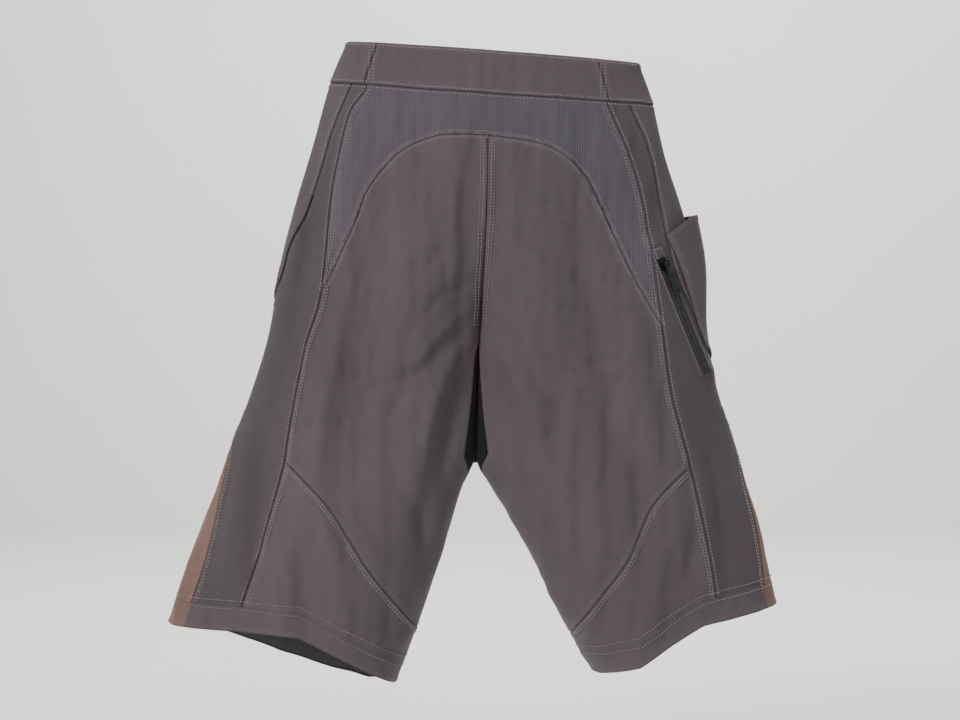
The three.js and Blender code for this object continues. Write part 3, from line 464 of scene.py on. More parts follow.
def meeting(turn_at, drop_at):
    """The drop where an upright line crosses a level one."""
    low, high = 0.0, 735.0
    for _ in range(40):
        middle = (low + high) / 2
        if drop_at(turn_at(middle)) > middle:
            low = middle
        else:
            high = middle
    return low


def down_path(turn_at, top, bottom, sign=1):
    """An upright line between two drops. A sign of -1 puts it on the front."""
    drop = np.linspace(top, bottom, max(12, int(abs(bottom - top) / 4)))
    return np.stack([sign * turn_at(drop), drop], -1)


def level_path(drop_at, start, end):
    """A level line between two turns."""
    turn = np.linspace(start, end, 90)
    return np.stack([turn, drop_at(turn)], -1)


# ------------------------------------------------------------------ Materials

def new_material(name):
    material = bpy.data.materials.new(name)
    material.use_nodes = True
    nodes = material.node_tree.nodes
    return material, nodes, material.node_tree.links, nodes["Principled BSDF"]


def node(nodes, kind, **values):
    """A shader node with its properties and unlinked inputs set."""
    made = nodes.new(kind)
    for key, value in values.items():
        if hasattr(made, key):
            setattr(made, key, value)
        else:
            made.inputs[key.replace("_", " ")].default_value = value
    return made


def wave(nodes, links, coords, axis, pitch, distortion=0.0):
    """A fine wave of the given pitch, in metres, along one axis."""
    made = node(nodes, "ShaderNodeTexWave", bands_direction=axis)
    made.inputs["Scale"].default_value = 2 * math.pi / (20 * pitch)
    made.inputs["Distortion"].default_value = distortion
    made.inputs["Detail"].default_value = 1.0
    links.new(coords, made.inputs["Vector"])
    return made.outputs["Fac"]


def noise(nodes, links, coords, scale, detail=3.0):
    made = node(nodes, "ShaderNodeTexNoise", Scale=scale, Detail=detail)
    links.new(coords, made.inputs["Vector"])
    return made.outputs["Fac"]


def ramp(nodes, links, value, stops):
    made = nodes.new("ShaderNodeValToRGB")
    elements = made.color_ramp.elements
    while len(elements) < len(stops):
        elements.new(0.5)
    for element, (at, colour) in zip(elements, stops):
        element.position = at
        element.color = (*colour, 1)
    links.new(value, made.inputs["Fac"])
    return made.outputs["Color"]


def mix(nodes, links, kind, factor, a, b):
    made = node(nodes, "ShaderNodeMix", data_type="RGBA", blend_type=kind)
    for socket, value in ((made.inputs[0], factor), (made.inputs[6], a), (made.inputs[7], b)):
        if hasattr(value, "is_output"):
            links.new(value, socket)
        elif isinstance(value, tuple):
            socket.default_value = (*value, 1)
        else:
            socket.default_value = value
    return made.outputs[2]


def maths(nodes, links, operation, a, b):
    made = node(nodes, "ShaderNodeMath", operation=operation)
    for socket, value in zip(made.inputs, (a, b)):
        if hasattr(value, "is_output"):
            links.new(value, socket)
        else:
            socket.default_value = value
    return made.outputs[0]


def bump(nodes, links, shader, *layers):
    """Stacks height fields, each (socket, depth in metres, strength), on the shader."""
    normal = None
    for height, depth, strength in layers:
        made = node(nodes, "ShaderNodeBump", Strength=strength, Distance=depth)
        links.new(height, made.inputs["Height"])
        if normal:
            links.new(normal, made.inputs["Normal"])
        normal = made.outputs["Normal"]
    links.new(normal, shader.inputs["Normal"])


def shade(colour, factor):
    return tuple(c * factor for c in colour)


CLOTH_ROUGHNESS = 0.82
KNIT_PITCH = 0.00185


def woven(name, colour, pitch=0.0011, sheen=0.12, variation=0.1, weave=0.35):
    """Plain woven cloth: crossed threads, mottled dye, paler worn seam edges, and painted shade
    where the cloth dips at each sewn edge.
    """
    material, nodes, links, shader = new_material(name)
    coords = node(nodes, "ShaderNodeTexCoord").outputs["Object"]
    broad = noise(nodes, links, coords, 7.0, 4.0)
    mottle = noise(nodes, links, coords, 110.0, 5.0)
    fleck = noise(nodes, links, coords, 900.0, 2.0)
    dye = ramp(nodes, links, broad, [(0.3, shade(colour, 1 - variation)),
                                     (0.7, shade(colour, 1 + variation))])
    dye = mix(nodes, links, "MULTIPLY", 0.55, dye,
              ramp(nodes, links, mottle, [(0.3, (0.84, 0.84, 0.85)), (0.75, (1.1, 1.08, 1.07))]))
    dye = mix(nodes, links, "MULTIPLY", 0.35, dye,
              ramp(nodes, links, fleck, [(0.35, (0.8, 0.8, 0.82)), (0.7, (1.15, 1.13, 1.1))]))
    edge = node(nodes, "ShaderNodeAttribute", attribute_name="seam").outputs["Fac"]
    wear_and_shade = mix(nodes, links, "MIX", maths(nodes, links, "MULTIPLY", edge, 0.3), dye,
               shade(colour, 1.35))
    # painted shade: the colour is darkened where the cloth dips at each sewn edge
    crease = node(nodes, "ShaderNodeAttribute", attribute_name="groove").outputs["Fac"]
    wear_and_shade = mix(nodes, links, "MULTIPLY", crease, wear_and_shade, (0.62, 0.6, 0.61))
    links.new(wear_and_shade, shader.inputs["Base Color"])
    links.new(ramp(nodes, links, mottle, [(0.2, (CLOTH_ROUGHNESS - 0.06,) * 3),
                                          (0.8, (CLOTH_ROUGHNESS + 0.08,) * 3)]),
              shader.inputs["Roughness"])
    shader.inputs["Sheen Weight"].default_value = sheen
    shader.inputs["Sheen Roughness"].default_value = 0.45
    shader.inputs["Specular IOR Level"].default_value = 0.3
    threads = maths(nodes, links, "ADD", wave(nodes, links, coords, "X", pitch, 0.6),
                    wave(nodes, links, coords, "Z", pitch * 1.15, 0.6))
    bump(nodes, links, shader, (noise(nodes, links, coords, 16.0, 3.0), 0.004, 0.3),
         (noise(nodes, links, coords, 45.0, 4.0), 0.0016, 0.45), (fleck, 0.0003, 0.4),
         (threads, 0.00016, weave))
    return material


def ribbed(name, colour):
    """Fine vertical rib knit, with a shadow in each furrow."""
    material, nodes, links, shader = new_material(name)
    coords = node(nodes, "ShaderNodeTexCoord").outputs["Object"]
    rib = wave(nodes, links, coords, "X", KNIT_PITCH, 0.25)
    stitch = wave(nodes, links, coords, "Z", KNIT_PITCH * 0.8, 0.4)
    broad = noise(nodes, links, coords, 9.0, 3.0)
    dye = ramp(nodes, links, broad, [(0.3, shade(colour, 0.9)), (0.7, shade(colour, 1.1))])
    # painted shade: the rib ramp darkens each furrow of the knit, and the stitch ramp faintly
    # darkens the rows between stitches
    dye = mix(nodes, links, "MULTIPLY", 0.85, dye,
              ramp(nodes, links, rib, [(0.0, (0.5, 0.5, 0.54)), (0.45, (1.08, 1.08, 1.08))]))
    dye = mix(nodes, links, "MULTIPLY", 0.25, dye,
              ramp(nodes, links, stitch, [(0.0, (0.8, 0.8, 0.8)), (0.6, (1.1, 1.1, 1.1))]))
    links.new(dye, shader.inputs["Base Color"])
    shader.inputs["Roughness"].default_value = 0.9
    shader.inputs["Sheen Weight"].default_value = 0.15
    shader.inputs["Sheen Roughness"].default_value = 0.5
    shader.inputs["Specular IOR Level"].default_value = 0.25
    bump(nodes, links, shader, (noise(nodes, links, coords, 40.0, 3.0), 0.001, 0.25),
         (rib, 0.0006, 0.8), (stitch, 0.00012, 0.4))
    return material


def thread(name, colour):
    """Sewing thread, twisted and a little uneven."""
    material, nodes, links, shader = new_material(name)
    coords = node(nodes, "ShaderNodeTexCoord").outputs["Object"]
    uneven = noise(nodes, links, coords, 350.0, 2.0)
    links.new(ramp(nodes, links, uneven, [(0.3, shade(colour, 0.75)), (0.7, shade(colour, 1.2))]),
              shader.inputs["Base Color"])
    shader.inputs["Roughness"].default_value = 0.65
    bump(nodes, links, shader, (uneven, 0.0002, 0.4))
    return material


def moulded(name, colour, rough, metal=0.0):
    """Moulded or enamelled fitting: faint texture, rubbed where it is handled."""
    material, nodes, links, shader = new_material(name)
    coords = node(nodes, "ShaderNodeTexCoord").outputs["Object"]
    grain = noise(nodes, links, coords, 1400.0, 2.0)
    rub = noise(nodes, links, coords, 160.0, 4.0)
    rubbed = tuple(c * 1.6 + 0.01 for c in colour)
    links.new(ramp(nodes, links, rub, [(0.4, colour), (0.75, rubbed)]),
              shader.inputs["Base Color"])
    links.new(ramp(nodes, links, rub, [(0.3, (rough + 0.1,) * 3), (0.8, (rough - 0.08,) * 3)]),
              shader.inputs["Roughness"])
    shader.inputs["Metallic"].default_value = metal
    bump(nodes, links, shader, (grain, 0.00008, 0.3))
    return material


MAIN = woven("main_cloth", (0.102, 0.082, 0.087), variation=0.08)
# a darker copy of the main cloth: painted shade for the shadowed valley along each side panel
SHADED_SIDE_CLOTH = woven("side_cloth", (0.083, 0.069, 0.074), variation=0.08)
TAN = woven("tan_cloth", (0.19, 0.112, 0.088), pitch=0.0013, variation=0.14, weave=0.5)
INSIDE = woven("inside_cloth", (0.07, 0.066, 0.076), variation=0.06)
BLACK = woven("black_cloth", (0.008, 0.007, 0.009), pitch=0.0009, sheen=0.06, variation=0.15)
RIB = ribbed("rib_knit", (0.118, 0.104, 0.122))
THREAD = thread("seam_thread", (0.33, 0.275, 0.27))
PALE_THREAD = thread("pale_thread", (0.27, 0.225, 0.215))
TAPE = woven("zip_tape_cloth", (0.05, 0.05, 0.05), pitch=0.0008, variation=0.06)
COIL = moulded("zip_coil", (0.03, 0.03, 0.031), 0.5)
PULL = moulded("pull_rubber", (0.006, 0.006, 0.007), 0.42)
METAL = moulded("black_enamel", (0.012, 0.012, 0.013), 0.3, 0.7)
FOAM = woven("foam_cover", (0.02, 0.02, 0.022), pitch=0.0022, weave=0.8)


# ------------------------------------------------------------------ Cloth pieces

CLOTH = 1.3                      # drawn thickness of the cloth
GRID = 3.6                       # size of the drawn facets
EDGE_STEPS = (0.7, 1.6, 2.8, 4.4, 6.6)
ALLOWANCE_HEIGHT, ALLOWANCE_WIDTH = 0.55, 7.5    # the lift from the seam allowance
SEAM_DIP, SEAM_DIP_WIDTH = 0.95, 0.85
CUT_SPARE = 1.03                 # a flat rectangle's length over its piece's own
LEAST_FILL = 0.31                # least share of its rectangle that a cut piece fills


def add_object(name, mesh, materials):
    """A piece of the shorts' own body, with its materials."""
    obj = bpy.data.objects.new(name, mesh)
    bpy.context.scene.collection.objects.link(obj)
    for material in materials:
        mesh.materials.append(material)
    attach(obj, "body")
    return obj


def mesh_of(name, points, faces, smooth_shading=True):
    """A mesh from points in millimetres."""
    mesh = bpy.data.meshes.new(name)
    mesh.from_pydata((np.asarray(points).reshape(-1, 3) * MM).tolist(), [], faces)
    if smooth_shading:
        mesh.shade_smooth()
    mesh.update()
    return mesh


def grid_faces(rows, columns, start=0, wrapped=False):
    spans = columns if wrapped else columns - 1
    return [(start + j * columns + i, start + (j + 1) * columns + i,
             start + (j + 1) * columns + (i + 1) % columns, start + j * columns + (i + 1) % columns)
            for j in range(rows - 1) for i in range(spans)]


def edge_spaced(length, step=GRID):
    """Shares from 0 to 1, close together near both ends, for the roll of a seam."""
    edge = [0, *EDGE_STEPS]
    inner = np.arange(edge[-1] + step, length - edge[-1] - step / 2, step)
    if length < 2.6 * edge[-1]:
        return np.linspace(0, 1, max(3, int(length / 1.6)))
    at = np.concatenate([edge, inner, length - np.array(edge[::-1])])
    return at / length


def set_attribute(mesh, name, values):
    mesh.attributes.new(name, "FLOAT", "POINT").data.foreach_set("value", values)


def seam_profile(distance):
    """Height of the cloth by its distance from a sewn edge: the edge dips, and the seam
    allowance under it lifts a band."""
    band = ALLOWANCE_HEIGHT * smooth((ALLOWANCE_WIDTH - distance) / 3.5)
    return band - SEAM_DIP * np.exp(-(distance / SEAM_DIP_WIDTH) ** 2)


def distances_to(points, outline):
    tree = KDTree(len(outline))
    for i, p in enumerate(outline):
        tree.insert(p, i)
    tree.balance()
    return np.array([tree.find(p)[2] for p in points])


def rim_points(point, faces, plain):
    """Points close together along the open edges of a mesh, but for its plain ones."""
    count = {}
    for face in faces:
        for a, b in zip(face, face[1:] + face[:1]):
            count[min(a, b), max(a, b)] = count.get((min(a, b), max(a, b)), 0) + 1
    rim = []
    for (a, b), used in count.items():
        if used == 1 and not (plain[a] and plain[b]):
            steps = max(1, int(np.linalg.norm(point[b] - point[a]) / 1.2))
            shares = np.linspace(0, 1, steps, endpoint=False)[:, None]
            rim.append(point[a] + (point[b] - point[a]) * shares)
    return np.concatenate(rim)


def cloth_piece(name, places, faces, way, material, slot, nodes=(), lift=0.0,
                thickness=CLOTH, relief=None, plain_drop=None):
    """One cut piece of cloth, rolled in along its sewn edges. An edge that lies at
    plain_drop, a function of turn, carries on into the next piece without a seam."""
    used = sorted({i for face in faces for i in face})
    number = {old: new for new, old in enumerate(used)}
    faces = [tuple(number[i] for i in face) for face in faces]
    places = places.reshape(-1, 2)[used]
    point, normal = cloth_frame(places[:, 0], places[:, 1], way)
    plain = np.zeros(len(places), bool)
    if plain_drop is not None:
        plain = np.abs(places[:, 1] - plain_drop(places[:, 0])) < 0.6
    away = distances_to(point, rim_points(point, faces, plain))
    pucker = 0.22 * np.sin(point[:, 0] * 0.9 + point[:, 2] * 0.8) * np.exp(-away / 7)
    height = seam_profile(away) + pucker + np.ravel(lift)
    if relief is not None:
        height = height + relief(point, away)
    mesh = mesh_of(name, point + normal * height[:, None], faces)
    set_attribute(mesh, "seam", np.exp(-((away - 3.2) / 2.6) ** 2))
    # painted shade along each sewn edge, darkest right at the edge where the cloth dips
    set_attribute(mesh, "groove", np.exp(-(away / 1.1) ** 2))
    facing = np.array([p.normal[:] for p in mesh.polygons[:]])
    wanted = normal[[face[0] for face in faces]]
    if (facing * wanted).sum() < 0:
        mesh.flip_normals()
    obj = add_object(f"{name}_cloth", mesh, [material, INSIDE])
    thicken(obj, thickness)
    if nodes:
        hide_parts(*nodes)
    declare_sheet(point, faces)
    return obj


def thicken(obj, thickness=CLOTH, inside=1):
    solid = obj.modifiers.new("thickness", "SOLIDIFY")
    solid.thickness = thickness * MM
    solid.offset = -1
    solid.material_offset = inside


def declare_sheet(point, faces):
    corner = np.array([face[:4] for face in faces])
    one, two = point[corner[:, 2]] - point[corner[:, 0]], point[corner[:, 3]] - point[corner[:, 1]]
    area = np.linalg.norm(np.cross(one, two), axis=-1).sum() / 2 * MM * MM
    centred = point - point.mean(0)
    _, _, axes = np.linalg.svd(centred, full_matrices=False)
    spread = np.ptp(centred @ axes.T, axis=0) * MM
    long = spread[0] * CUT_SPARE
    wide = max(spread[1], area / long) * CUT_SPARE
    area = max(area, LEAST_FILL * wide * long)


def coons(left, right, top, bottom, way):
    """A grid of places inside four edges. Left and right run down, the others across."""
    lengths = [reach_along(np.asarray(e, float), way)[-1] for e in (left, right, top, bottom)]
    v = edge_spaced(max(lengths[:2]))
    u = edge_spaced(max(lengths[2:]))
    left, right = resample(left, way, v), resample(right, way, v)
    top, bottom = resample(top, way, u), resample(bottom, way, u)
    uu, vv = u[None, :, None], v[:, None, None]
    ruled = (1 - uu) * left[:, None] + uu * right[:, None]
    sided = (1 - vv) * top[None] + vv * bottom[None]
    corners = ((1 - uu) * (1 - vv) * left[0] + uu * (1 - vv) * right[0]
               + (1 - uu) * vv * left[-1] + uu * vv * right[-1])
    return ruled + sided - corners


# ------------------------------------------------------------------ Stitching

STITCH = 2.5                     # length of one stitch
STITCH_PITCH = 3.3
STITCH_HEIGHT = 0.55


def stitches(name, rows, material, length=STITCH, pitch=STITCH_PITCH, width=1.0):
    """Topstitching. rows lists (path, way, distance to one side, lift)."""
    points, faces = [], []
    for path, way, aside, lift in rows:
        total = reach_along(np.asarray(path, float), way)[-1]
        count = max(2, int(total / pitch))
        places = resample(path, way, (np.arange(count) + 0.5) / count)
        point, normal = cloth_frame(places[:, 0], places[:, 1], way)
        along = np.gradient(point, axis=0)
        along /= np.linalg.norm(along, axis=1, keepdims=True)
        sideways = np.cross(along, normal)
        middle = point + sideways * aside + normal * lift
        for m, a, b, n in zip(middle, along, sideways, normal):
            start = len(points)
            a, b, top = a * length / 2, b * width / 2, n * STITCH_HEIGHT
            points += [m - a, m - a * 0.5 + b, m - a * 0.5 - b, m + a * 0.5 + b,
                       m + a * 0.5 - b, m + a, m - a * 0.4 + top, m + a * 0.4 + top]
            faces += [tuple(start + k for k in f) for f in (
                (0, 2, 6), (0, 6, 1), (1, 6, 7, 3), (2, 4, 7, 6), (3, 7, 5), (4, 5, 7),
                (0, 1, 3, 5), (0, 5, 4, 2))]
    add_object(name, mesh_of(name, points, faces), [material])


# ------------------------------------------------------------------ The shell

def shifted(line, rise):
    return [(x, z + rise) for x, z in line]


def inseam(drop):
    """The turn of the centre seam and inseam, the same at every drop."""
    return np.ones(np.shape(drop))


class Half:
    """The seams of one half, as places on its own half."""

    def __init__(self, side, name, way, side_seam, hip, insert, gusset, knee_back, knee_front,
                 hem_back, hem_front, band, insert_head, hip_foot):
        self.side, self.name, self.way = side, name, way
        self.insert_head, self.hip_foot = insert_head, hip_foot
        self.seam = upright(side_seam, side)
        self.hip = upright(hip, side)
        self.insert = upright(insert, side)
        self.gusset = upright(gusset, side)
        self.gusset_top, self.gusset_foot = -gusset[0][1], -gusset[-1][1]
        self.band = upright([(band, z) for z in (12, -20, -70)], side)
        self.waist = level(WAIST_SEAM, side)
        self.knee_back, self.knee_front = level(curved(knee_back), side), level(knee_front, side)
        self.hem = {BACK: level(hem_back, side), FRONT: level(hem_front, side)}
        self.hem_top = {BACK: level(shifted(hem_back, HEM_HEIGHT), side),
                        FRONT: level(shifted(hem_front, HEM_HEIGHT), side)}

    def round_leg(self, lines, turn):
        """A line's drop right round the leg, from its back and front halves."""
        return np.where(turn > 0, lines[BACK](turn), lines[FRONT](turn))

    def hem_line(self, turn):
        return self.round_leg(self.hem_top, turn)

    def inner(self, drop):
        """The turn of the centre seam, then the gusset seam, then the inseam."""
        drop = np.asarray(drop, float)
        on_gusset = (drop > self.gusset_top) & (drop < self.gusset_foot)
        ends = smooth((drop - self.gusset_top) / 22) * smooth((self.gusset_foot - drop) / 34)
        return np.where(on_gusset, 1 - (1 - self.gusset(drop)) * ends, 1.0)

    def strip(self, drop):
        """The half width of the hip panel, then of the side insert, as a turn."""
        drop = np.asarray(drop, float)
        hip = np.where(drop < self.hip_foot, self.hip(drop), 0)
        tip = smooth((drop - self.insert_head) / 60)
        insert = self.insert(drop) * tip
        return np.maximum(hip + insert, 0.012)

    def patch(self, top_at, bottom_at, sign):
        """A piece between the side seam and the inner seams, and its four edges."""
        corner = [meeting(line, at) for line, at in (
            (self.seam, top_at), (self.seam, bottom_at), (inseam, top_at), (inseam, bottom_at))]
        outer = down_path(self.seam, corner[0], corner[1], sign)
        inner = down_path(inseam, corner[2], corner[3], sign)
        top = level_path(lambda t: top_at(np.abs(t)), outer[0, 0], inner[0, 0])
        bottom = level_path(lambda t: bottom_at(np.abs(t)), outer[-1, 0], inner[-1, 0])
        top[0], top[-1], bottom[0], bottom[-1] = outer[0], inner[0], outer[-1], inner[-1]
        return outer, inner, top, bottom


LEFT_SIDE = Half(LEFT, "left", LEFT_HALF, SIDE_SEAM_LEFT, HIP_SEAM_LEFT, INSERT_SEAM_LEFT,
                 GUSSET_SEAM_LEFT, KNEE_BACK_LEFT, KNEE_FRONT_LEFT, HEM_LEFT_BACK,
                 HEM_LEFT_FRONT, BAND_SEAM_LEFT, 387, 264)
RIGHT_SIDE = Half(RIGHT, "right", RIGHT_HALF, SIDE_SEAM_RIGHT, HIP_SEAM_RIGHT,
                  INSERT_SEAM_RIGHT, GUSSET_SEAM_RIGHT, KNEE_BACK_RIGHT, KNEE_FRONT_RIGHT,
                  HEM_RIGHT_BACK, HEM_RIGHT_FRONT, BAND_SEAM_RIGHT, 387, 300)


ARCH_SHOULDER_DROP = 128         # above this drop the arch is the seat's top edge


def drawn_in(half, grid, sign):
    """The grid with its inner edge moved to the gusset seam, and the cloth near it drawn in."""
    for row in grid:
        reach = reach_along(row, half.way)
        share = smooth((reach / reach[-1] - 0.62) / 0.38)
        row[:, 0] -= sign * (1 - half.inner(row[-1, 1])) * share
    return grid


def arch_half(side):
    """The arch seam from the side seam up to the centre, on its own half."""
    line = ARCH_SEAM[:ARCH_TOP + 1] if side == LEFT else ARCH_SEAM[:ARCH_TOP - 1:-1]
    places = place_of(curved(line), 1, side)
    places[-1] = [1, -ARCH_SEAM[ARCH_TOP][1]]
    return places


def grid_piece(name, places, way, material, slot, nodes, **extra):
    rows, columns = places.shape[:2]
    return cloth_piece(name, places, grid_faces(rows, columns), way, material, slot, nodes,
                       **extra)


def add_main_panels(half):
    """The seat, lower back, front and front knee of one half."""
    name, way = half.name, half.way
    arch = arch_half(half.side)
    seat_foot = [meeting(line, half.knee_back) for line in (half.seam, inseam)]
    outer = down_path(half.seam, arch[0, 1], seat_foot[0])
    inner = down_path(inseam, arch[-1, 1], seat_foot[1])
    knee = level_path(half.knee_back, outer[-1, 0], inner[-1, 0])
    shoulder = int(np.argmax(arch[:, 1] < ARCH_SHOULDER_DROP))
    outer = np.concatenate([arch[shoulder::-1], outer[1:]])
    seat = drawn_in(half, coons(outer, inner, arch[shoulder:], knee, way), 1)
    grid_piece(f"seat_panel_{name}", seat, way, MAIN, "main_cloth", [f"seat_panel_{name}"])
    for label, top, bottom, sign in (
            ("lower_back_panel", half.knee_back, half.hem_top[BACK], 1),
            ("front_panel", half.waist, half.knee_front, -1),
            ("front_knee_panel", half.knee_front, half.hem_top[FRONT], -1)):
        edges = half.patch(top, bottom, sign)
        node_name = f"{label}_{name}"
        grid = drawn_in(half, coons(*edges, way), sign)
        grid_piece(node_name, grid, way, MAIN, "main_cloth", [node_name],
                   plain_drop=half.hem_line)


def add_side_strip(half):
    """The hip panel, side panel and side insert, which share one grid of places."""
    zone = (0.0, 0.03, 0.08, 0.15, 0.24, 0.34, 0.45, 0.55, 0.66, 0.76, 0.85, 0.92, 0.97, 1.0)
    zone = np.array(zone)
    middle = edge_spaced(110, 4.5)
    columns = np.concatenate([zone, 1 + middle[1:], 2 + zone[1:]])
    rows = edge_spaced(560)
    u, v = np.meshgrid(columns, rows)
    turn = 0.3 * (1.5 - u) / 1.5
    for _ in range(6):
        top = half.waist(turn)
        drop = top + v * (half.hem_line(turn) - top)
        seam, strip = half.seam(drop), half.strip(drop)
        turn = np.where(u < 1, seam + (strip - seam) * u,
                        np.where(u > 2, -strip + (strip - seam) * (u - 2),
                                 strip * (3 - 2 * u)))
    places = np.stack([turn, drop], -1)
    count = len(columns)
    first, last = len(zone) - 1, len(columns) - len(zone)
    pieces = {"hip_panel": [], "side_panel": [], "side_insert": []}
    for face in grid_faces(len(rows), count):
        row, column = divmod(face[0], count)
        down = drop[row, (first + last) // 2]
        inside = first <= column < last
        key = "side_panel"
        if inside and down < half.hip_foot:
            key = "hip_panel"
        elif inside and down > half.insert_head:
            key = "side_insert"
        pieces[key].append(face)
    # the side panels take the darker copy of the main cloth, which is painted shade
    looks = {"hip_panel": (MAIN, "main_cloth"), "side_panel": (SHADED_SIDE_CLOTH, "side_cloth"),
             "side_insert": (TAN, "tan_cloth")}
    for key, faces in pieces.items():
        piece_name = f"{key}_{half.name}"
        cloth_piece(piece_name, places, faces, half.way, *looks[key], [piece_name],
                    plain_drop=half.hem_line)


def add_gusset(half):
    """The black stretch cloth round the inside of the thigh."""
    drops = half.gusset_top + (half.gusset_foot - half.gusset_top) * edge_spaced(170)
    edge = half.inner(drops)
    turns = edge[:, None] + (2 - 2 * edge[:, None]) * np.linspace(0, 1, 18)[None]
    places = np.stack([turns, np.broadcast_to(drops[:, None], turns.shape)], -1)
    name = f"crotch_gusset_{half.name}"
    grid_piece(name, places, half.way, BLACK, "black_cloth", [name])


WEB_TURN = 1.06                  # where the web meets each leg, past the inseam to the front
WEB_TOP, WEB_FOOT = 296, 438
WEB_ROWS, WEB_COLUMNS = 46, 12
WEB_DIP, WEB_CRINKLE = 5, 2      # how far it hangs back and wavers between the legs


def add_web():
    """The black cloth that joins the two gussets under the crotch."""
    drop = np.linspace(WEB_TOP, WEB_FOOT, WEB_ROWS)
    sides = [cloth_frame(np.full(WEB_ROWS, WEB_TURN), drop, half.way)[0]
             for half in (LEFT_SIDE, RIGHT_SIDE)]
    share = np.linspace(0, 1, WEB_COLUMNS)[None, :, None]
    points = sides[0][:, None] * (1 - share) + sides[1][:, None] * share
    belly = np.sin(np.pi * share[..., 0])
    points[..., 1] += WEB_DIP * belly
    points[..., 0] -= WEB_CRINKLE * np.sin(drop / 9)[:, None] * belly
    mesh = mesh_of("gusset_web", points, grid_faces(WEB_ROWS, WEB_COLUMNS))
    thicken(add_object("gusset_web", mesh, [BLACK]), 0.8, 0)


def add_hem(half):
    """The folded hem, tan where it closes the side insert."""
    turn = np.linspace(-1, 1, 190)
    v = edge_spaced(HEM_HEIGHT, 2.6)[:, None]
    top, bottom = half.hem_line(turn), half.round_leg(half.hem, turn)
    drop = top + v * (bottom - top)
    places = np.stack([np.broadcast_to(turn, drop.shape), drop], -1)
    places = places[:, :-1]
    rows, columns = places.shape[:2]
    name = f"hem_{half.name}"
    obj = cloth_piece(name, places, grid_faces(rows, columns, wrapped=True), half.way, MAIN,
                      "main_cloth", [name], lift=0.1, thickness=2.2,
                      plain_drop=half.hem_line)
    obj.data.materials.clear()
    for one in (MAIN, TAN, INSIDE, INSIDE):
        obj.data.materials.append(one)
    obj.modifiers["thickness"].material_offset = 2
    limit = half.insert(drop[0, columns // 2])
    for polygon in obj.data.polygons:
        column = min(i % columns for i in polygon.vertices)
        polygon.material_index = int(abs(turn[column]) < limit)


def across(path):
    """A path on the right half, read in the way that runs across the back."""
    return np.stack([2 - path[:, 0], path[:, 1]], -1)


def add_yoke():
    left, right = arch_half(LEFT), arch_half(RIGHT)
    arch = np.concatenate([left, across(right)[::-1][1:]])
    tops = [meeting(half.seam, half.waist) for half in (LEFT_SIDE, RIGHT_SIDE)]
    outer = down_path(LEFT_SIDE.seam, tops[0], left[0, 1])
    inner = across(down_path(RIGHT_SIDE.seam, tops[1], right[0, 1]))
    outer[-1], inner[-1] = arch[0], arch[-1]
    waist = waist_line(outer[0, 0], inner[0, 0])
    grid_piece("ribbed_yoke", coons(outer, inner, waist, arch, ACROSS_BACK), ACROSS_BACK, RIB,
               "rib_knit", ["ribbed_yoke"])
    return arch


def waist_line(start, end, rise=0):
    """The seam under the waistband, between two turns across the back or the front."""
    turn = np.linspace(start, end, 120)
    drop = np.where(turn < 1, LEFT_SIDE.waist(turn), RIGHT_SIDE.waist(2 - turn))
    return np.stack([turn, drop - rise], -1)


def add_waistband():
    """The waistband: a back piece, two fronts and two sides."""
    left = LEFT_SIDE.band(BAND_MIDDLE)
    right = RIGHT_SIDE.band(BAND_MIDDLE)
    spans = (("waistband_back", ACROSS_BACK, left, 2 - right),
             ("waistband_front_left", ACROSS_FRONT, left, 1),
             ("waistband_front_right", ACROSS_FRONT, 1, 2 - right),
             ("waistband_side_left", LEFT_HALF, left, -left),
             ("waistband_side_right", RIGHT_HALF, right, -right))
    for name, way, start, end in spans:
        middle = np.stack([np.linspace(start, end, 90), np.full(90, float(BAND_MIDDLE))], -1)
        width = reach_along(middle, way)[-1]
        turn = start + (end - start) * edge_spaced(width)
        half = LEFT_SIDE if way == LEFT_HALF else RIGHT_SIDE
        if way in (ACROSS_BACK, ACROSS_FRONT):
            bottom = np.where(turn < 1, LEFT_SIDE.waist(turn), RIGHT_SIDE.waist(2 - turn))
        else:
            bottom = half.waist(turn)
        v = edge_spaced(BAND_HEIGHT, 2.8)[:, None]
        places = np.stack([np.broadcast_to(turn, (len(v), len(turn))), v * bottom], -1)
        grid_piece(name, places, way, MAIN, "main_cloth", [name], lift=0.5, thickness=2.0,
                   relief=gathers)


def gathers(point, away):
    """Short upright puckers where the waistband is drawn in."""
    x = point[:, 0]
    calm = np.exp(-((point[:, 2] + 24 + x * WAIST_TILT) / 26) ** 2)
    waves = np.sin(x / 3.3 + 1.3 * np.sin(x / 17)) + 0.6 * np.sin(x / 7.1 + 2)
    return 0.28 * waves * calm * smooth(away / 5)


for one_half in (LEFT_SIDE, RIGHT_SIDE):
    add_main_panels(one_half)
    add_side_strip(one_half)
    add_gusset(one_half)
    add_hem(one_half)
add_web()
ARCH_PATH = add_yoke()
add_waistband()

# ------------------------------------------------------------------ Seam stitching

SIDE_ROWS = (-3.2, -6.0, 2.6)    # distances of the rows from their seam, in millimetres
HIP_ROWS = (3.0,)
INSERT_ROWS = (-3.0, -5.6)
KNEE_ROWS = (-3.0, -5.8)
BAND_ROWS = (2.6, -2.6)


def seam_rows(path, way, asides, turned=1, lift=0.55):
    """Rows of stitches beside a seam. A turned of -1 puts them on its other side."""
    return [(path, way, aside * turned, lift) for aside in asides]


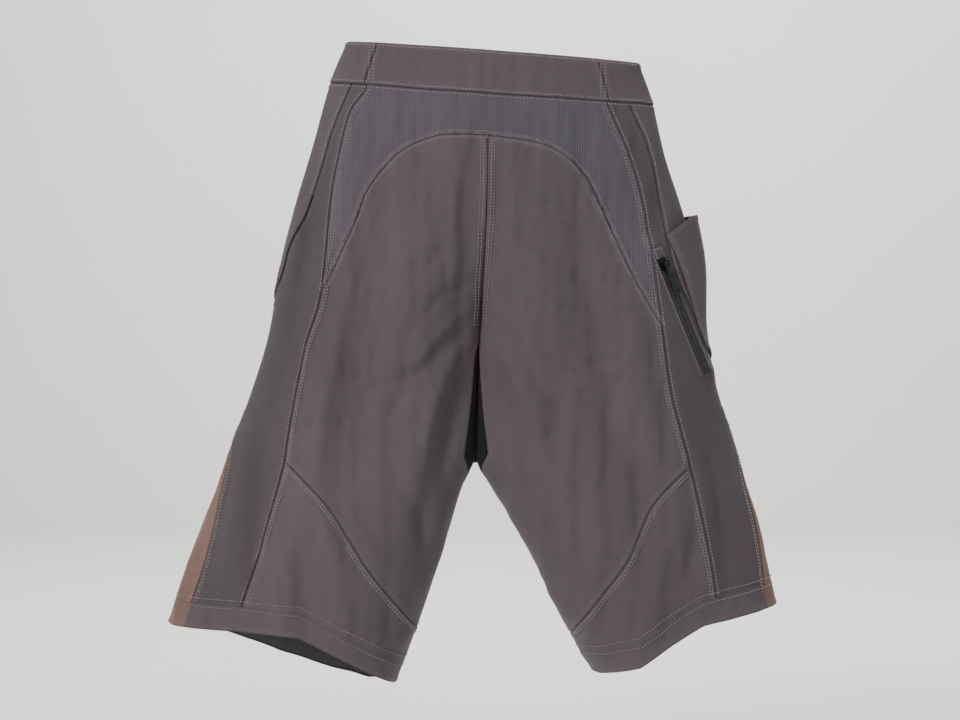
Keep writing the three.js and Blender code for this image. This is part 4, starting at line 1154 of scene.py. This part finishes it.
def outer_stitching(half):
    """The rows beside the side, hip, insert and knee seams."""
    way = half.way
    waist_drop = meeting(half.seam, half.waist) + 3
    hem_back = meeting(half.seam, half.hem_top[BACK]) - 3
    hem_front = meeting(half.seam, half.hem_top[FRONT]) - 3
    rows = []
    for sign, bottom in ((1, hem_back), (-1, hem_front)):
        outward = -1 if sign * half.side > 0 else 1
        path = down_path(half.seam, waist_drop, bottom, sign)
        rows += seam_rows(path, way, SIDE_ROWS, outward)
        hip = down_path(half.hip, 60, half.hip_foot - 6, sign)
        insert = down_path(half.strip, half.insert_head + 14, bottom + 4, sign)
        rows += seam_rows(hip, way, HIP_ROWS, outward)
        rows += seam_rows(insert, way, INSERT_ROWS, outward)
    knee = level_path(half.knee_back, half.seam(450) + 0.012, 0.98)
    rows += seam_rows(knee, way, KNEE_ROWS, half.side)
    front = level_path(half.knee_front, -half.seam(430) - 0.012, -0.95)
    return rows + seam_rows(front, way, KNEE_ROWS, -half.side)


def hem_stitching(half):
    """Two rows round the leg, one each side of the hem's top edge."""
    rows = []
    turn = np.linspace(-1, 1, 180)
    for rise, lift in ((-3.0, 0.85), (5.0, 0.6)):
        path = np.stack([turn, half.hem_line(turn) - rise], -1)
        rows.append((path, half.way, 0, lift))
    return rows


CENTRE_STITCH_TOP = 96           # drop at which the rows leave the arch seam


def centre_stitching():
    """The rows beside the seat's centre seam, on the cloth that slopes into it."""
    rows = []
    z = np.linspace(-CENTRE_STITCH_TOP, 8 - CROTCH_DROP, 60)
    middle = np.interp(-z, [-end for _, end in CENTRE_SEAM], [x for x, _ in CENTRE_SEAM])
    for side, way, asides in ((RIGHT, RIGHT_HALF, (4.2, 7.2)), (LEFT, LEFT_HALF, (-4.2, -7.2))):
        for aside in asides:
            path = place_of(np.stack([middle + aside, z], -1), BACK, side)
            rows.append((path, way, 0, 0.65))
    return rows


def waistband_stitching():
    """The rows under and along the waistband, and beside its upright seams."""
    rows = []
    for way in (ACROSS_BACK, ACROSS_FRONT):
        for rise, lift in ((-2.6, 0.55), (3.0, 1.0)):
            rows.append((waist_line(0.0, 2.0, rise), way, 0, lift))
        turn = np.linspace(0.0, 2.0, 120)
        rows.append((np.stack([turn, np.full(120, 3.2)], -1), way, 0, 1.0))
    for half in (LEFT_SIDE, RIGHT_SIDE):
        for sign in (1, -1):
            rows += seam_rows(down_path(half.band, 4, 42, sign), half.way, BAND_ROWS, lift=1.0)
    return rows


ARCH_BAND = (-4.2, -2.8, -1.4, 1.6, 3.2)         # rows of the coverstitch beside the seam
BAR_TACK_TURNS = (0.975, 1.025)
BAR_TACK_DROP = 91.5


def arch_stitching():
    """The dense coverstitch band that holds the yoke to the seat."""
    return [(ARCH_PATH, ACROSS_BACK, aside, 0.5) for aside in ARCH_BAND]


def bar_tack_rows():
    """The short dense rows over the top of the centre seam."""
    return [(np.array([[turn, BAR_TACK_DROP + step] for turn in BAR_TACK_TURNS]), ACROSS_BACK,
             0, 1.0) for step in np.arange(-3.5, 4.0, 0.9)]


for one_half in (LEFT_SIDE, RIGHT_SIDE):
    stitches(f"seam_stitches_{one_half.name}", outer_stitching(one_half), THREAD)
    stitches(f"hem_stitches_{one_half.name}", hem_stitching(one_half), THREAD)
stitches("centre_stitches", centre_stitching(), THREAD)
stitches("waistband_stitches", waistband_stitching(), THREAD)
stitches("arch_coverstitch", arch_stitching(), PALE_THREAD, length=1.9, pitch=2.1, width=0.95)
stitches("bar_tack", bar_tack_rows(), PALE_THREAD, length=1.4, pitch=1.0, width=0.7)

# ------------------------------------------------------------------ Zips

def boxes(name, centres, halves, axes, material):
    """Many small boxes as one object."""
    corner = np.array([(i, j, k) for i in (-1, 1) for j in (-1, 1) for k in (-1, 1)], float)
    sides = ((0, 1, 3, 2), (4, 6, 7, 5), (0, 4, 5, 1), (2, 3, 7, 6), (0, 2, 6, 4), (1, 5, 7, 3))
    points, faces = [], []
    for centre, half in zip(centres, halves):
        start = len(points)
        points += list(centre + (corner * half) @ axes)
        faces += [tuple(start + i for i in side) for side in sides]
    obj = add_object(name, mesh_of(name, points, faces, False), [material])
    bevel = obj.modifiers.new("round", "BEVEL")
    bevel.width = min(min(half) for half in halves) * 0.4 * MM
    bevel.segments = 2
    return obj


def add_tapes(zip_frame):
    axes = np.array([zip_frame.across, zip_frame.up, zip_frame.out])
    middle, reach = (zip_frame.head + zip_frame.foot) / 2, (zip_frame.head - zip_frame.foot) / 2
    for label, sign in (("left", -1), ("right", 1)):
        name = f"{zip_frame.name}_zip_tape_{label}"
        wide = (TAPE_WIDTH / 2 - TAPE_GAP) / 2
        tape = boxes(f"{name}_cloth",
                     [zip_frame.point(sign * (TAPE_GAP + wide), middle, TAPE_THICKNESS / 2)],
                     [(wide, reach, TAPE_THICKNESS / 2)], axes, TAPE)
        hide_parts(name)
        at = np.arange(zip_frame.foot + 1, zip_frame.head - 1, TOOTH_PITCH)
        shift = TOOTH_PITCH / 2 * (sign > 0)
        link_x = sign * (COIL_WIDTH / 2 - LINK_HALF_WIDTH)
        centres = [zip_frame.point(link_x, y + shift, TAPE_THICKNESS + COIL_HEIGHT / 2)
                   for y in at[:-1]]
        link = (LINK_HALF_WIDTH, LINK_HALF_LENGTH, COIL_HEIGHT / 2)
        boxes(f"{zip_frame.name}_zip_coil_{label}", centres, [link] * len(centres), axes, COIL)


def shell_near(point, face, side):
    """The folded cloth behind or in front of some points, and its normals."""
    places = place_of(point[..., [0, 2]], face, side)
    return cloth_frame(places[..., 0], places[..., 1], LEFT_HALF if side == LEFT else RIGHT_HALF)


# Columns of a bed from its edge to its middle, in twelfths of its half width.
BED_TWELFTHS = [-12, -10.5, -9, -8, -7, -6.3, -5.8, -5.4, -5.2, -4.9, -2.5, 0]
BED_HEIGHT = -0.35               # just under the tapes
LIP_RISE = 0.7                   # how far a lip stands over the tape
END_FOLD = 7                     # length over which the lips run out at each end
LIP_STITCH = 7.0                 # the stitching's distance from the zip's middle


def add_bed(zip_frame, margin_head, cloth):
    """The cloth beside and under the tapes, folded back along them as two lips."""
    x = np.array(BED_TWELFTHS) * BED_HALF_WIDTH / 12
    x = np.concatenate([x, -x[-2::-1]])
    y = np.arange(zip_frame.foot - 3, zip_frame.head + margin_head, 2.2)
    plane = zip_frame.point(x[None], y[:, None], BED_HEIGHT)
    shell, normal = shell_near(plane, zip_frame.face, zip_frame.side)
    raised = np.where(np.abs(x) > LIP_START - 0.3, TAPE_THICKNESS + LIP_RISE, 0.0)
    out = smooth((np.abs(x) - LIP_START) / (BED_HALF_WIDTH - LIP_START)) ** 0.8
    end = np.minimum(y - y[0], y[-1] - y)
    out = np.maximum(out[None], 1 - smooth(end / END_FOLD)[:, None])
    lifted = plane + (raised[None] * (1 - out))[..., None] * zip_frame.out
    points = lifted * (1 - out[..., None]) + (shell + normal * BED_LIFT) * out[..., None]
    name = f"{zip_frame.name}_zip_bed"
    faces = grid_faces(len(y), len(x))
    mesh = mesh_of(name, points, faces)
    if mesh.polygons[0].normal @ Vector(zip_frame.out) < 0:
        mesh.flip_normals()
    edge = np.abs(np.abs(x) - LIP_START - 0.4)
    set_attribute(mesh, "seam", np.tile(np.exp(-edge ** 2), len(y)))
    # painted shade on the bed between the two lips, under and between the tapes
    set_attribute(mesh, "groove", np.tile((np.abs(x) < LIP_START - 0.3) * 0.9, len(y)))
    obj = add_object(f"{name}_cloth", mesh, [cloth, INSIDE])
    thicken(obj, 0.7)
    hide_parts(name)
    declare_sheet(points.reshape(-1, 3), faces)
    lines = [zip_frame.point(np.full(len(y) - 6, side * LIP_STITCH), y[3:-3], TAPE_THICKNESS)
             for side in (-1, 1)]
    thread_line(f"{name}_stitches", lines, zip_frame.out)


FINE_STITCH_WIDTH = 0.55


def thread_line(name, lines, out, lift=0.3, length=2.3, pitch=3.2):
    """Topstitching along lines of points, lying flat on a surface that faces out."""
    centres, frames = [], []
    for line in lines:
        steps = np.linalg.norm(np.diff(line, axis=0), axis=1)
        reach = np.concatenate([[0], np.cumsum(steps)])
        for at in np.arange(pitch / 2, reach[-1], pitch):
            centre = np.array([np.interp(at, reach, line[:, k]) for k in range(3)])
            ahead = np.array([np.interp(at + 1, reach, line[:, k]) for k in range(3)]) - centre
            centres.append(centre + out * lift)
            frames.append(ahead / max(np.linalg.norm(ahead), 1e-6))
    points, faces = [], []
    for centre, along in zip(centres, frames):
        aside = np.cross(along, out)
        start = len(points)
        end, edge = along * length / 2, aside * FINE_STITCH_WIDTH / 2
        points += [centre - end, centre + edge, centre - edge, centre + end,
                   centre + out * 0.35, centre - out * 0.3]
        faces += [tuple(start + k for k in f) for f in (
            (0, 4, 1), (0, 2, 4), (3, 1, 4), (3, 4, 2), (0, 1, 5), (0, 5, 2), (3, 5, 1), (3, 2, 5))]
    add_object(name, mesh_of(name, points, faces, False), [THREAD])


GARAGE_HALF = 6                  # half the hood's width and length
GARAGE_RISE = 3.7
GARAGE_GAP = 0.35                # clearance between the tapes' end and the hood
GARAGE_COLUMNS = 15


def add_garage(zip_frame):
    """The cloth hood over the zip's closed end."""
    share = np.linspace(-1, 1, GARAGE_COLUMNS)
    across, along = np.meshgrid(share, share)
    x, y = GARAGE_HALF * across, GARAGE_HALF * (1 + along)
    taper = 1 - 0.22 * smooth((y - 7) / 5)
    round_off = (1 - np.abs(across) ** 5) * (1 - np.abs(along) ** 7)
    height = GARAGE_RISE * np.maximum(round_off, 0) ** 0.5 - 0.2
    points = zip_frame.point(x * taper, y + zip_frame.head + GARAGE_GAP, height)
    mesh = mesh_of("zip_garage", points, grid_faces(GARAGE_COLUMNS, GARAGE_COLUMNS))
    if mesh.polygons[len(mesh.polygons) // 2].normal @ Vector(zip_frame.out) < 0:
        mesh.flip_normals()
    obj = add_object("pocket_zip_garage_cloth", mesh, [MAIN, INSIDE])
    thicken(obj, 0.8)
    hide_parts("pocket_zip_garage")
    y = np.linspace(1.5, 10, 12) + zip_frame.head
    thread_line("garage_stitches", [zip_frame.point(np.full(12, side * 4.6), y, 3.2)
                                    for side in (-1, 1)], zip_frame.out, lift=0.35, pitch=2.4,
                length=1.7)


add_tapes(POCKET_ZIP)
# the pocket zip's bed takes the same darker copy of the main cloth, painted shade
add_bed(POCKET_ZIP, 14, SHADED_SIDE_CLOTH)
add_garage(POCKET_ZIP)
add_tapes(FLY_ZIP)
add_bed(FLY_ZIP, 2, MAIN)


# ------------------------------------------------------------------ Pockets, fly, tab

OVERLAY = 2.15                   # height of a patch's outer face over the shell
POCKET_BULGE = 12
# Share across, turn at the mouth, turn at the foot, drop at the mouth, drop at the foot.
CARGO_COLUMNS = np.array([
    [0, 0.243, 0.1, 194, 314], [0.15, 0.17, 0.04, 184, 322], [0.3, 0.09, -0.02, 174, 328],
    [0.45, 0, -0.09, 172, 332], [0.6, -0.1, -0.16, 172, 334], [0.75, -0.19, -0.24, 172, 334],
    [0.9, -0.28, -0.31, 174, 332], [1, -0.34, -0.36, 176, 330]])
POCKET_DIP = 2.4                 # drape of the cloth between the mouth's ends


def add_cargo_pocket():
    """The patch pocket, with its mouth standing open and a turned edge."""
    share = edge_spaced(150, 4.0)
    down = edge_spaced(150, 4.0)
    column = [np.interp(share, CARGO_COLUMNS[:, 0], CARGO_COLUMNS[:, k]) for k in range(1, 5)]
    turn = column[0] + (column[1] - column[0]) * down[:, None]
    drop = column[2] + (column[3] - column[2]) * down[:, None]
    places = np.stack([turn, drop], -1)
    open_by = np.sin(np.pi * share) ** 0.8 * (1 - down[:, None]) ** 1.6
    sag = POCKET_DIP * np.sin(np.pi * share) * np.sin(np.pi * down[:, None]) ** 2
    crease = 0.8 * np.sin(share * 19 + down[:, None] * 6) * np.sin(np.pi * down[:, None])
    lift = OVERLAY + POCKET_BULGE * open_by + sag * 0.5 + crease * np.sin(np.pi * share)
    grid_piece("cargo_pocket", places, RIGHT_HALF, MAIN, "main_cloth", ["cargo_pocket"],
               lift=lift)
    point, normal = cloth_frame(turn, drop, RIGHT_HALF)
    outer = point + normal * (lift + 0.15)[..., None]
    level_out, edge_out = normal[4, len(share) // 2], normal[len(down) // 2, 3]
    for name, rows, out in (("mouth", [outer[k] for k in (4, 6)], level_out),
                            ("back_edge", [outer[:, k] for k in (3, 5)], normal[:, 3].mean(0)),
                            ("foot", [outer[-k] for k in (4, 6)], level_out),
                            ("front_edge", [outer[:, -k] for k in (4, 6)], edge_out)):
        thread_line(f"cargo_{name}_stitches", rows, out / np.linalg.norm(out))


def patch_rings(middle, half_width, half_height, lean, ring, steps):
    """Rings of [x, z] that fill a leaning patch with squared-up round corners."""
    angle = np.linspace(0, 2 * np.pi, steps, endpoint=False)
    u, w = (size * ring * np.sign(v) * np.abs(v) ** 0.7
            for size, v in ((half_width, np.cos(angle)), (half_height, np.sin(angle))))
    return np.stack([middle[0] + u * math.cos(lean) - w * math.sin(lean),
                     middle[1] + u * math.sin(lean) + w * math.cos(lean)], -1)


BAG_MIDDLE, BAG_HALF_WIDTH, BAG_HALF_HEIGHT, BAG_LEAN = (-145, -160), 40, 88, -0.12
WELT_TOP, WELT_FOOT = 158, 262   # drops of the slit's two ends
WELT_TURN = 0.062                # width of the welt, as a turn
WELT_COLUMNS = np.array([0, 0.06, 0.14, 0.3, 0.5, 0.75, 0.9, 1.0])


def add_hand_pocket():
    """The welt beside the slit in the left hip seam, a thin black strip of painted shadow along the
    slit, and the bag behind it.
    """
    drop = np.linspace(WELT_TOP, WELT_FOOT, 60)[:, None]
    edge = LEFT_SIDE.hip(drop)
    taper = 0.35 + 0.65 * smooth((WELT_FOOT - drop) / 26)
    places = np.stack([edge - WELT_TURN * taper * WELT_COLUMNS,
                       np.broadcast_to(drop, (60, len(WELT_COLUMNS)))], -1)
    grid_piece("hand_pocket_welt", places, LEFT_HALF, MAIN, "main_cloth",
               ["hand_pocket_welt"], lift=1.5)
    # painted shadow: a thin black strip laid on the cloth along the slit's gap
    point, normal = cloth_frame(edge + np.linspace(0.005, -0.004, 3), drop, LEFT_HALF)
    slit = mesh_of("slit", point + normal * 0.35, grid_faces(60, 3))
    add_object("hand_pocket_slit", slit, [BLACK])
    flat = patch_rings(BAG_MIDDLE, BAG_HALF_WIDTH, BAG_HALF_HEIGHT, BAG_LEAN,
                       np.linspace(0, 1, 14)[1:, None], 48)
    places = place_of(flat, FRONT, LEFT)
    faces = grid_faces(*places.shape[:2], wrapped=True)
    piece = cloth_piece("hand_pocket_bag", places, faces, LEFT_HALF, BLACK, "black_cloth",
                        ["hand_pocket_bag"], lift=-2.6, thickness=0.6)
    piece.data.materials[1] = BLACK


PATCH_STEP = 2.4                 # size of a patch's facets
PATCH_WIDTH = 26                 # about how wide a patch is, for the spacing across it


def inside_outline(outline):
    """A grid of [x, z] filling an outline whose rows each have one left and one right."""
    line = np.array(outline + outline[:1], float)
    top, bottom = line[:, 1].max(), line[:, 1].min()
    rows = []
    heights = top - (top - bottom) * edge_spaced(top - bottom, PATCH_STEP)
    for z in np.clip(heights, bottom + 0.05, top - 0.05):
        xs = [a[0] + (b[0] - a[0]) * (z - a[1]) / (b[1] - a[1])
              for a, b in zip(line[:-1], line[1:]) if (a[1] - z) * (b[1] - z) < 0]
        x = min(xs) + (max(xs) - min(xs)) * edge_spaced(PATCH_WIDTH, PATCH_STEP)
        rows.append(np.stack([x, np.full(len(x), z)], -1))
    return np.array(rows)


FLY_OUTLINE = [(2, -54), (27, -55), (27, -165), (20, -182), (8, -190), (2, -190)]
TAB_OUTLINE = [(-32, -9), (-36, -14), (-36, -34), (-32, -39), (34, -43), (34, -13)]


def add_front_closure():
    """The fly's placket beside its zip, and the waist tab that closes over it."""
    for name, outline, lift in (("fly_placket", FLY_OUTLINE, OVERLAY),
                                ("waist_tab", TAB_OUTLINE, OVERLAY + 0.5)):
        flat = inside_outline(outline)
        if name == "fly_placket":
            places, way = place_of(flat, FRONT, RIGHT), RIGHT_HALF
        else:
            places = place_across(flat.reshape(-1, 2)).reshape(flat.shape)
            way = ACROSS_FRONT
        grid_piece(name, places, way, MAIN, "main_cloth", [name], lift=lift)


add_cargo_pocket()
add_hand_pocket()
add_front_closure()


# ------------------------------------------------------------------ Pads

# Side, face, middle [x, z], half width, half height, lean, of each foam pad.
PADS = {
    "tailbone_pad_left": (LEFT, BACK, (-30, -160), 24, 50, 0),
    "tailbone_pad_right": (RIGHT, BACK, (30, -160), 24, 50, 0),
    "hip_pad_left": (LEFT, BACK, (-168, -180), 24, 62, -0.1),
    "hip_pad_right": (RIGHT, BACK, (168, -180), 24, 62, 0.1),
    "thigh_pad_left": (LEFT, FRONT, (-150, -362), 46, 62, 0),
    "thigh_pad_right": (RIGHT, FRONT, (142, -362), 46, 62, 0),
}
PAD_OUTER, PAD_INNER = -2.9, -10.0               # heights of the two faces over the cloth
PAD_RIM = 0.72                   # share of the way out at which the pressed rim begins
CHANNEL_PITCH, CHANNEL_DEPTH = 15, 0.55


def pad_mesh(name, side, face, middle, half_width, half_height, lean):
    """A closed foam pad with a rounded rim that follows the cloth it lies behind."""
    ring = np.linspace(0.0, 1.0, 12)[1:, None]
    flat = patch_rings(middle, half_width, half_height, lean, ring, 40)
    flat = np.concatenate([np.broadcast_to(np.array(middle, float), (1, 40, 2)), flat])
    places = place_of(flat, face, side)
    way = LEFT_HALF if side == LEFT else RIGHT_HALF
    point, normal = cloth_frame(places[..., 0], places[..., 1], way)
    rim = np.concatenate([[[0.0]], ring])
    squeeze = 1 - 0.82 * np.maximum(rim - PAD_RIM, 0) / (1 - PAD_RIM)
    channels = CHANNEL_DEPTH * np.abs(np.sin(flat[..., 1] * math.pi / CHANNEL_PITCH)) ** 0.3
    centre = (PAD_OUTER + PAD_INNER) / 2
    depth = (PAD_OUTER - PAD_INNER) / 2 * squeeze
    outer = point + normal * (centre + depth)[..., None]
    inner = point + normal * (centre - depth - channels * squeeze + 0.5)[..., None]
    rows, columns = flat.shape[:2]
    faces = grid_faces(rows, columns, wrapped=True)
    whole, last = rows * columns, (rows - 1) * columns
    back = [tuple(i + whole for i in face[::-1]) for face in faces]
    seam = [(whole + last + i, whole + last + (i + 1) % columns, last + (i + 1) % columns,
             last + i) for i in range(columns)]
    return mesh_of(name, np.concatenate([outer, inner]), faces + back + seam)


def add_pads():
    for name, sizes in PADS.items():
        mesh = pad_mesh(name, *sizes)
        made = bmesh.new()
        made.from_mesh(mesh)
        bmesh.ops.remove_doubles(made, verts=made.verts, dist=0.02 * MM)
        bmesh.ops.recalc_face_normals(made, faces=made.faces)
        made.to_mesh(mesh)
        made.free()
        obj = add_object(f"{name}_foam", mesh, [FOAM])
        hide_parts(name)


add_pads()

# ------------------------------------------------------------------ Fittings

FITTINGS = {
    "pocket_zip_slider": (METAL, 0.25), "fly_zip_slider": (METAL, 0.25),
    "pocket_zip_pull": (PULL, 0.35), "fly_zip_pull": (PULL, 0.35),
    "waist_snap": (METAL, 0.3), "cargo_snap": (METAL, 0.25),
}


def finish_fittings():
    """The CAD's own sliders, pulls and studs, with rounded edges."""
    for name, (material, radius) in FITTINGS.items():
        obj = frame["nodes"][name]
        obj.data.materials.clear()
        obj.data.materials.append(material)
        bevel = obj.modifiers.new("round", "BEVEL")
        bevel.width = radius * MM
        bevel.segments = 3
        bevel.limit_method = "ANGLE"


finish_fittings()

# ------------------------------------------------------------------ Stage

def add_plane(name, corners, material):
    obj = bpy.data.objects.new(name, mesh_of(name, corners, [(0, 1, 2, 3)], False))
    bpy.context.scene.collection.objects.link(obj)
    obj.data.materials.append(material)


def backdrop_material(name, colour):
    material, nodes, links, shader = new_material(name)
    coords = node(nodes, "ShaderNodeTexCoord").outputs["Object"]
    links.new(ramp(nodes, links, noise(nodes, links, coords, 2.0), [
        (0.3, shade(colour, 0.98)), (0.7, shade(colour, 1.02))]), shader.inputs["Base Color"])
    shader.inputs["Roughness"].default_value = 0.95
    return material


def area_light(name, place, target, size, power, colour=(1, 1, 1)):
    data = bpy.data.lights.new(name, "AREA")
    data.size = size
    data.energy = power
    data.color = colour
    light = bpy.data.objects.new(name, data)
    bpy.context.scene.collection.objects.link(light)
    light.location = place
    light.rotation_euler = (Vector(target) - Vector(place)).to_track_quat("-Z", "Y").to_euler()


PALE = backdrop_material("pale_wall", (0.78, 0.78, 0.76))
FLOOR_Z = -820
WALL_Y = 3400
add_plane("floor", [(-4000, -4000, FLOOR_Z), (4000, -4000, FLOOR_Z), (4000, 4000, FLOOR_Z),
                    (-4000, 4000, FLOOR_Z)], PALE)
add_plane("wall", [(-4000, WALL_Y, FLOOR_Z), (4000, WALL_Y, FLOOR_Z), (4000, WALL_Y, 3000),
                   (-4000, WALL_Y, 3000)], PALE)
CENTRE = (0, 0, -0.33)
area_light("window", (-1.7, -2.0, 1.5), CENTRE, 0.9, 74, (1, 0.985, 0.97))
area_light("fill", (2.2, -2.2, 0.2), CENTRE, 2.0, 8, (0.95, 0.97, 1))
area_light("wall_light", (0.4, 1.0, 2.2), (0, 3.4, -0.2), 2.4, 190)

world = bpy.data.worlds.new("soft_sky")
world.use_nodes = True
world.node_tree.nodes["Background"].inputs["Color"].default_value = (0.9, 0.93, 1, 1)
world.node_tree.nodes["Background"].inputs["Strength"].default_value = 0.34
bpy.context.scene.world = world

camera_data = bpy.data.cameras.new("camera")
camera_data.lens = 71.4
camera_data.sensor_width = 36
camera = bpy.data.objects.new("camera", camera_data)
camera.location = (-0.0084, -2.03, -0.328)
camera.rotation_euler = (math.pi / 2, 0, 0)
bpy.context.scene.collection.objects.link(camera)
bpy.context.scene.camera = camera
